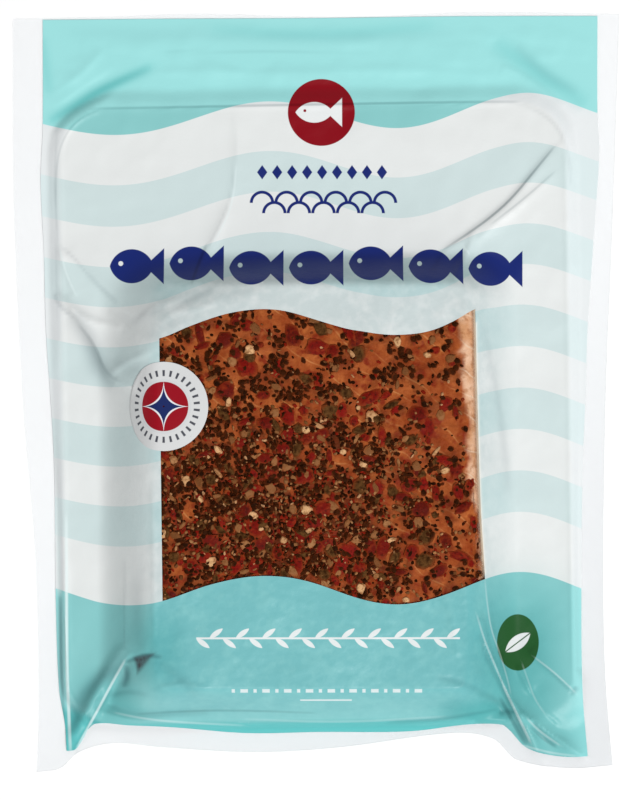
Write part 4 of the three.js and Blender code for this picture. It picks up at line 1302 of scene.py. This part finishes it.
# A red disc with a white fish, and a row of navy diamonds and two of navy scallops below it.
DISC = {"x": 1.5, "y": 78.6, "radius": 9.4, "fish_length": 13.2, "fish_height": 5.8}
DIAMONDS = {"start": -17.2, "pitch": 4.2, "count": 9, "y": 61.8, "half_width": 1.45}
SCALLOPS = {"pitch": 6.9, "radius": 3.0, "half_line": 0.42}
disc_x, disc_y = place_x - DISC["x"], place_y - DISC["y"]
disc = DISC["radius"] - (disc_x * disc_x + disc_y * disc_y).worked("SQRT")
disc_fish = little_fish(disc_x + 0.4, disc_y, DISC["fish_length"], DISC["fish_height"])
inks = film.lay(inks, RED, edge_of(disc))
inks = film.lay(inks, PRINT_WHITE, edge_of(disc_fish))
diamond_x, diamond_reach, _ = repeated(
    place_x, DIAMONDS["start"], DIAMONDS["pitch"], DIAMONDS["count"])
diamond_y = (place_y - DIAMONDS["y"]).size() * 0.72
diamond = DIAMONDS["half_width"] - (diamond_x.size() + diamond_y)
inks = film.lay(inks, NAVY, edge_of((diamond * 0.8).least(diamond_reach)))
for row_y, start, count in ((53.2, -18.6, 6), (50.3, -15.15, 5)):
    scallop_x, scallop_reach, _ = repeated(place_x, start, SCALLOPS["pitch"], count)
    scallop_y = place_y - row_y
    ring = (scallop_x * scallop_x + scallop_y * scallop_y).worked("SQRT") - SCALLOPS["radius"]
    scallop = (SCALLOPS["half_line"] - ring.size()).least(scallop_y).least(scallop_reach)
    inks = film.lay(inks, NAVY, edge_of(scallop))

# A white garland: leaves to either side of a thin stem in turn.
GARLAND = {"start": -33.4, "pitch": 3.68, "count": 20, "y": -68.6, "leaf_off_stem": 1.35}
LEAF = {"half_length": 2.5, "half_width": 0.75, "half_stem": 0.26}
leaf_x, garland_reach, leaf_number = repeated(
    place_x, GARLAND["start"], GARLAND["pitch"], GARLAND["count"])
upward = (leaf_number * 0.5).worked("FRACT") * 4 - 1
leaf_y = place_y - GARLAND["y"] - upward * GARLAND["leaf_off_stem"]
slant = upward * 0.62
turned_x = leaf_x * 0.85 + leaf_y * slant
turned_y = leaf_y * 0.85 - leaf_x * slant
stem = LEAF["half_stem"] - (place_y - GARLAND["y"]).size()
leaves = leaf(turned_x, turned_y, LEAF["half_length"], LEAF["half_width"])
inks = film.lay(inks, PRINT_WHITE, edge_of(leaves.most(stem).least(garland_reach)) * 0.92)

# White dots and dashes in turn, and a short white line under them.
DASHES = {"start": -24.6, "pitch": 3.04, "count": 18, "y": -83.3, "half_height": 0.5}
UNDERLINE = {"x": 2.8, "y": -86, "half_width": 7.2, "half_height": 0.2}
dash_x, dash_reach, dash_number = repeated(
    place_x, DASHES["start"], DASHES["pitch"], DASHES["count"])
dash_width = (dash_number * 0.5).worked("FRACT") * 1.2 + 0.45
dash_height = DASHES["half_height"] - (place_y - DASHES["y"]).size()
dash = (dash_width - dash_x.size()).least(dash_height).least(dash_reach)
inks = film.lay(inks, PRINT_WHITE, edge_of(dash) * 0.75)
underline_across = UNDERLINE["half_width"] - (place_x - UNDERLINE["x"]).size()
underline_along = UNDERLINE["half_height"] - (place_y - UNDERLINE["y"]).size()
inks = film.lay(inks, PRINT_WHITE, edge_of(underline_across.least(underline_along)) * 0.8)

# A green oval with a white leaf that slants up to the right, and a thin vein left green in it.
OVAL = {"x": 56.6, "y": -70.1, "half_width": 5.9, "half_height": 7.9}
OVAL_LEAF = {"half_length": 4.4, "half_width": 1.9, "half_vein": 0.16}
oval_x, oval_y = place_x - OVAL["x"], place_y - OVAL["y"]
oval = ellipse(oval_x, oval_y, OVAL["half_width"], OVAL["half_height"])
inks = film.lay(inks, LEAF_GREEN, edge_of(oval))
along_leaf, across_leaf = oval_x * 0.8 + oval_y * 0.6, oval_y * 0.8 - oval_x * 0.6
oval_leaf = leaf(along_leaf, across_leaf, OVAL_LEAF["half_length"], OVAL_LEAF["half_width"])
beside_vein = across_leaf.size() - OVAL_LEAF["half_vein"]
inks = film.lay(inks, PRINT_WHITE, edge_of(oval_leaf.least(beside_vein)))

# Painted light and shade of the folds go over all the print: painted shade along the pinches, painted
# highlights and shade along the fine lines, a painted highlight on the window's rim, painted shade in
# the pocket.
inks = film.lay(inks, PINCH_SHADE_TINT, film.mark("pinch_and_shade") * 0.8, "MULTIPLY")
# Painted highlights and painted shade along the fine lines.
for group in range(LINE_GROUPS):
    off, bright = film.mark("line_off_%d" % group), film.mark("line_bright_%d" % group)
    line = (off.size() * -1 + 1.5).share() * bright
    inks = film.lay(inks, seen(232, 246, 246), (line * 0.75).share())
    inks = film.lay(inks, SHADED_INK, (line * -0.8).share(), "MULTIPLY")
# A painted highlight along the window's right edge.
inks = film.lay(inks, seen(240, 236, 226), film.mark("window_rim") * 0.8)
# Painted shade in the pocket.
in_pocket = (film.mark("in_pocket") * (film.grain(1.2, 2) * 0.6 + 0.6)).share()
film.colour(film.lay(inks, seen(66, 70, 76), in_pocket))
film.roughness(film.speckled(9, 2, 0.3, 0.7) * 0.06 + 0.32)
film.relief(film.grain(1.6, 3) * film.mark("over_fish"), 0.06)
film.relief(film.grain(0.9, 2), 0.025)
printed_film.data.materials.append(film.material)
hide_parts("pouch")
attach(printed_film, "root")


# The window: where the front film has no print it is clear, and clings to every grain of the
# crust. It is made as a thin sheet laid over the flesh and the spices.
WINDOW_FILM = {
    "thickness": 0.08, "step": 0.65, "under_print": 0.7,
    "off_spice": 0.06, "off_flesh": 0.3,
}
WINDOW_FILM_BORDER = {"below_outside": 0.16, "width": 1.6}
DRAPE_CELL = 0.5
DRAPE_MARGIN = 2
DRAPE_ROUNDS = 2


def highest_spice(x, y):
    """The highest point of the spices near each place, from a map of small square cells."""
    low_x, low_y = x.min() - DRAPE_MARGIN, y.min() - DRAPE_MARGIN
    across = int((x.max() + DRAPE_MARGIN - low_x) / DRAPE_CELL) + 2
    along = int((y.max() + DRAPE_MARGIN - low_y) / DRAPE_CELL) + 2
    cells = np.zeros((across, along))
    for piece in spice_pieces:
        place = np.empty(len(piece.data.vertices) * 3)
        piece.data.vertices.foreach_get("co", place)
        place = place.reshape(-1, 3) / MM
        i = np.clip(((place[:, 0] - low_x) / DRAPE_CELL).astype(int), 0, across - 1)
        j = np.clip(((place[:, 1] - low_y) / DRAPE_CELL).astype(int), 0, along - 1)
        np.maximum.at(cells, (i, j), place[:, 2])
    beside = [np.roll(cells, (a, b), (0, 1)) for a in (-1, 0, 1) for b in (-1, 0, 1)]
    i, j = ((x - low_x) / DRAPE_CELL).astype(int), ((y - low_y) / DRAPE_CELL).astype(int)
    return np.max(beside, axis=0)[i, j]


clear_x, clear_y = window_grid(WINDOW_FILM["under_print"], WINDOW_FILM["step"])
clear_z = np.maximum(
    highest_spice(clear_x, clear_y) + WINDOW_FILM["off_spice"],
    flesh_height(clear_x, clear_y) + WINDOW_FILM["off_flesh"],
)
for _ in range(DRAPE_ROUNDS):
    padded = np.pad(clear_z, 1, mode="edge")
    around = (padded[:-2, 1:-1] + padded[2:, 1:-1] + padded[1:-1, :-2] + padded[1:-1, 2:]) / 4
    clear_z = np.maximum(clear_z, 0.5 * clear_z + 0.5 * around)
border_z = film_height(clear_x, clear_y) - WINDOW_FILM_BORDER["below_outside"]
near_border = 1 - eased_step(inside_window(clear_x, clear_y), 0, WINDOW_FILM_BORDER["width"])
clear_z = clear_z * (1 - near_border) + border_z * near_border
clear_outside = np.stack([clear_x, clear_y, clear_z], -1)
clear_inside = clear_outside - ways_out(clear_outside) * WINDOW_FILM["thickness"]
# A painted highlight along the window's right edge, laid over the shade under the print's edge.
at_right_side = np.clip(1.1 - (window_right(clear_y) - clear_x) / 0.7, 0, 1)
clear_marks = {"rim": at_right_side * eased_step(clear_y, -54, -44)}
window_film = closed_shell("window_film", clear_outside, clear_inside, marks=clear_marks)


def clear_finish(name, roughness, specular, tint, least, rim_tint):
    """Clear film: see-through, with a thin gloss that grows where it is seen at a slant.

    It takes a colour of its own where the mesh has the mark "rim": a painted highlight on the window
    film, and on the margins a grey that deepens towards the lower right.
    """
    finish = Finish(name, roughness=roughness, specular=specular)
    finish.shader.inputs["Base Color"].default_value = tint
    through = finish.tree.nodes.new("ShaderNodeBsdfTransparent")
    slant = finish.tree.nodes.new("ShaderNodeLayerWeight")
    slant.inputs["Blend"].default_value = 0.15
    gloss = Measure(finish.tree, slant.outputs["Fresnel"]) * 0.5 + least
    rim_share = finish.mark("rim")
    finish.colour(finish.lay(tint, rim_tint, finish.spread(rim_share, 0.02, 0.3)))
    both = finish.tree.nodes.new("ShaderNodeMixShader")
    finish.tree.links.new((gloss + rim_share * 0.8).share().socket, both.inputs[0])
    finish.tree.links.new(through.outputs[0], both.inputs[1])
    finish.tree.links.new(finish.shader.outputs[0], both.inputs[2])
    finish.tree.links.new(both.outputs[0], finish.output.inputs["Surface"])
    return finish


clear_film = clear_finish(
    "clear film over the fish", roughness=0.14, specular=0.25,
    tint=seen(70, 34, 18), least=0.0, rim_tint=seen(236, 216, 190))
clear_film.relief(clear_film.grain(1.2, 2), 0.06)
window_film.data.materials.append(clear_film.material)
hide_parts("pouch")
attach(window_film, "root")


# The badge: a round label of thin white paper, stuck on the film over the left edge of the
# window. It is printed with a ring of short dark dashes round a red disc with a pointed star.
BADGE = {"x": -42.5, "y": -3.9, "radius": 12.45, "thickness": 0.12, "above_film": 0.22}
BADGE_RINGS, BADGE_POINTS = 22, 96
BADGE_PRINT = {
    "dashes": 30, "dash_share": 0.17, "dash_reach": 9.3, "dash_half_length": 0.85,
    "line_reach": 7.4, "half_line": 0.25, "disc_radius": 6.9,
}
badge_turn = np.linspace(0, 2 * math.pi, BADGE_POINTS + 1)[:, None]
badge_reach = np.linspace(0.02, 1, BADGE_RINGS)[None, ::-1] * BADGE["radius"]
badge_u, badge_v = badge_reach * np.cos(badge_turn), badge_reach * np.sin(badge_turn)

# The label follows the film down the side of the fish, so it looks narrower on its left.
WALK = {"reach": 20, "steps": 400}
walk_x = np.linspace(BADGE["x"] - WALK["reach"], BADGE["x"] + WALK["reach"], WALK["steps"])
walk_z = film_height(walk_x, 0 * walk_x + BADGE["y"])
walked = np.r_[0, np.cumsum(np.hypot(np.diff(walk_x), np.diff(walk_z)))]
walked -= np.interp(BADGE["x"], walk_x, walked)
badge_x = np.interp(badge_u, walked, walk_x)
badge_y = BADGE["y"] + badge_v
badge_z = film_height(badge_x, badge_y) + BADGE["above_film"]
badge_top = np.stack([badge_x, badge_y, badge_z], -1)
badge_marks = {"label_place": np.stack([badge_u, badge_v, 0 * badge_u], -1)}
badge_under = badge_top - [0, 0, BADGE["thickness"]]
badge = closed_shell("badge", badge_top, badge_under, marks=badge_marks)
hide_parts("pouch")
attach(badge, "root")
badge_finish = Finish("badge print", roughness=0.4, specular=0.15)
from_x, from_y = badge_finish.marked_place("label_place")
reach = (from_x * from_x + from_y * from_y).worked("SQRT")
round_about = from_y.worked("ARCTAN2", from_x)
dash_turn = (round_about * (BADGE_PRINT["dashes"] / (2 * math.pi))).worked("FRACT")
dashes = (dash_turn - 0.5).size() * -1 + BADGE_PRINT["dash_share"]
dash_band = BADGE_PRINT["dash_half_length"] - (reach - BADGE_PRINT["dash_reach"]).size()
thin_ring = BADGE_PRINT["half_line"] - (reach - BADGE_PRINT["line_reach"]).size()
label_disc = BADGE_PRINT["disc_radius"] - reach
label = badge_finish.lay(
    seen(214, 215, 215), seen(74, 76, 84), edge_of(dash_band.least(dashes * 2)))
label = badge_finish.lay(label, seen(205, 208, 210), edge_of(thin_ring) * 0.6)
label = badge_finish.lay(label, seen(150, 6, 26), edge_of(label_disc))
star_bend = from_x.size().worked("SQRT") + from_y.size().worked("SQRT")
for star_reach, colour in ((7.6, seen(236, 238, 240)), (6.3, seen(25, 40, 96))):
    star = (math.sqrt(star_reach) - star_bend) * 1.6
    label = badge_finish.lay(label, colour, edge_of(star.least(label_disc)))
badge_finish.colour(label)
badge_finish.relief(badge_finish.grain(1.4, 2), 0.02)
badge.data.materials.append(badge_finish.material)


# The clear margins: beyond the print the front and the back film are heat sealed together, flat
# and clear. They look a little greyer towards the lower right.
SIDE_LEFT = smooth_curve([
    (-106.5, -78.4), (-86, -77.8), (-47, -78.7), (-2, -82.3), (54, -84.8), (105, -85.1),
])
SIDE_RIGHT = smooth_curve([
    (-104.6, 83.2), (-80, 81.2), (-50, 80.6), (0, 81.3), (48, 83.2), (106, 85.1),
])
SIDE_TOP = smooth_curve([
    (-85.1, 104.9), (-60, 105.4), (-32, 106.3), (1, 105.4), (23, 105.8), (43, 106.8),
    (85.1, 106.3),
])
SIDE_BOTTOM = smooth_curve([
    (-78.4, -106.5), (-71.7, -105.4), (-66.6, -100.9), (-57, -98.4), (-43.7, -99.5), (-17, -100.9),
    (7, -99.5), (39, -95.5), (50, -97.3), (56, -102.9), (71, -105.4), (83.2, -104.6),
])
MARGIN_STRIPS, TOP_MARGIN_STRIPS = 8, 3
PRINT_COLUMNS, PRINT_ROWS = 150, 190
GREYER_TO_LOWER_RIGHT = {"most": 0.088, "to_right": 0.6, "start": -25, "over": 170}
margin_columns = [
    (SIDE_LEFT, MARGIN_STRIPS),
    (PRINT_LEFT, PRINT_COLUMNS),
    (PRINT_RIGHT, MARGIN_STRIPS),
    (SIDE_RIGHT, 0),
]
margin_rows = [
    (SIDE_BOTTOM, MARGIN_STRIPS),
    (PRINT_BOTTOM, PRINT_ROWS),
    (PRINT_TOP, TOP_MARGIN_STRIPS),
    (SIDE_TOP, 0),
]
margin_x, margin_y = crossings(margin_columns, margin_rows)
margin_z = film_height(margin_x, margin_y)
margin_cells = np.ones((margin_x.shape[0] - 1, margin_x.shape[1] - 1), bool)
margin_cells[
    MARGIN_STRIPS:MARGIN_STRIPS + PRINT_COLUMNS,
    MARGIN_STRIPS:MARGIN_STRIPS + PRINT_ROWS,
] = False
margin_top = np.stack([margin_x, margin_y, margin_z], -1)
margin_bottom = np.stack([margin_x, margin_y, 0 * margin_z], -1)
to_lower_right = GREYER_TO_LOWER_RIGHT["to_right"] * margin_x - margin_y - GREYER_TO_LOWER_RIGHT["start"]
margin_marks = {"rim": GREYER_TO_LOWER_RIGHT["most"] * np.clip(to_lower_right / GREYER_TO_LOWER_RIGHT["over"], 0, 1)}
seal_margin = closed_shell("seal_margin", margin_top, margin_bottom, margin_cells, margin_marks)
margin_finish = clear_finish(
    "clear sealed margin", roughness=0.25, specular=0.3,
    tint=seen(228, 234, 238), least=0.07, rim_tint=seen(126, 131, 141))
margin_finish.relief(margin_finish.grain(6, 2), 0.1)
seal_margin.data.materials.append(margin_finish.material)
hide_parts("pouch")
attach(seal_margin, "root")


# The back film: the other side of the pouch, flat on the table. It is printed with the same
# waves, and sealed to the front film all round.
BACK_THICKNESS = 0.08
BACK_COLUMNS, BACK_ROWS = 70, 90
back_x, back_y = crossings(
    [(PRINT_LEFT, BACK_COLUMNS), (PRINT_RIGHT, 0)],
    [(PRINT_BOTTOM, BACK_ROWS), (PRINT_TOP, 0)],
)
back_top = np.stack([back_x, back_y, 0 * back_x + BACK_THICKNESS], -1)
back_marks = {
    "print_level": back_y - wave_height(back_x),
    "on_board": 0 * back_x + 1,
    "over_fish": 0 * back_x,
}
back_film = closed_shell("back_film", back_top, back_top - [0, 0, BACK_THICKNESS], marks=back_marks)
back = Finish("printed back film", roughness=0.36, specular=0.4)
back.colour(film_inks(back, back.mark("print_level"), back.mark("on_board"), back.mark("over_fish")))
back.relief(back.grain(5, 3), 0.06)
back_film.data.materials.append(back.material)
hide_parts("pouch")
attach(back_film, "root")


# A plain pale floor, soft light mostly from the lower right, and a camera straight above. Sizes
# here are metres. The floor is a hair under the pack, so that the clear margins, which lie flat
# on it, show its tone and no line of shade round the print.
FLOOR_SIDE = 3.0
FLOOR_LEVEL = -0.00003
floor_mesh = bpy.data.meshes.new("floor")
floor_corners = [
    (side_x * FLOOR_SIDE / 2, side_y * FLOOR_SIDE / 2, FLOOR_LEVEL)
    for side_x, side_y in ((-1, -1), (1, -1), (1, 1), (-1, 1))
]
floor_mesh.from_pydata(floor_corners, [], [(0, 1, 2, 3)])
floor = bpy.data.objects.new("floor", floor_mesh)
bpy.context.scene.collection.objects.link(floor)
floor_finish = Finish("pale floor", roughness=0.9, specular=0.0)
floor_finish.shader.inputs["Base Color"].default_value = (0.9, 0.9, 0.9, 1)
floor_mesh.materials.append(floor_finish.material)


KEY_LIGHT = {"place": (0.82, -1.05, 2.35), "size": 0.7, "power": 58}
lamp = bpy.data.lights.new("key", "AREA")
lamp.shape, lamp.size, lamp.energy = "DISK", KEY_LIGHT["size"], KEY_LIGHT["power"]
key_light = bpy.data.objects.new("key", lamp)
key_light.location = KEY_LIGHT["place"]
key_light.rotation_euler = (-Vector(KEY_LIGHT["place"])).to_track_quat("-Z", "Y").to_euler()
bpy.context.scene.collection.objects.link(key_light)

# The studio's walls light the pack evenly, but it is darker straight above the table, so that the
# film mirrors little of it. How near straight up a place is goes from 0 at the walls to 1.
DARKER_FROM, DARKEST_FROM = 0.84, 0.97
WALL_LIGHT, LIGHT_ABOVE = 0.56, 0.12
world = bpy.data.worlds.new("studio")
world.use_nodes = True
sky = world.node_tree.nodes
direction = sky.new("ShaderNodeTexCoord")
parts_of_way = sky.new("ShaderNodeSeparateXYZ")
studio_light = sky.new("ShaderNodeMapRange")
studio_light.inputs["From Min"].default_value = DARKER_FROM
studio_light.inputs["From Max"].default_value = DARKEST_FROM
studio_light.inputs["To Min"].default_value = WALL_LIGHT
studio_light.inputs["To Max"].default_value = LIGHT_ABOVE
for source, target in (
    (direction.outputs["Generated"], parts_of_way.inputs[0]),
    (parts_of_way.outputs[2], studio_light.inputs["Value"]),
    (studio_light.outputs[0], sky["Background"].inputs["Strength"]),
):
    world.node_tree.links.new(source, target)
sky["Background"].inputs["Color"].default_value = (1, 1, 1, 1)
bpy.context.scene.world = world
bpy.context.scene.view_settings.view_transform = "Standard"

# The camera is over the middle of the photograph's frame, far enough off to see the pack nearly
# square. The frame's height is taken at about the middle of the pack's thickness. The lens and
# its sensor are in millimetres.
PHOTO_MIDDLE = (0.00126, -0.0021)
CAMERA_HEIGHT = 3.0
PHOTO_HEIGHT = 0.224
REFERENCE_HEIGHT = 0.008
SENSOR_SIDE = 36
lens = bpy.data.cameras.new("camera")
lens.sensor_width = SENSOR_SIDE
lens.lens = lens.sensor_width * (CAMERA_HEIGHT - REFERENCE_HEIGHT) / PHOTO_HEIGHT
lens.clip_end = 20
camera = bpy.data.objects.new("camera", lens)
camera.location = (*PHOTO_MIDDLE, CAMERA_HEIGHT)
bpy.context.scene.collection.objects.link(camera)
bpy.context.scene.camera = camera
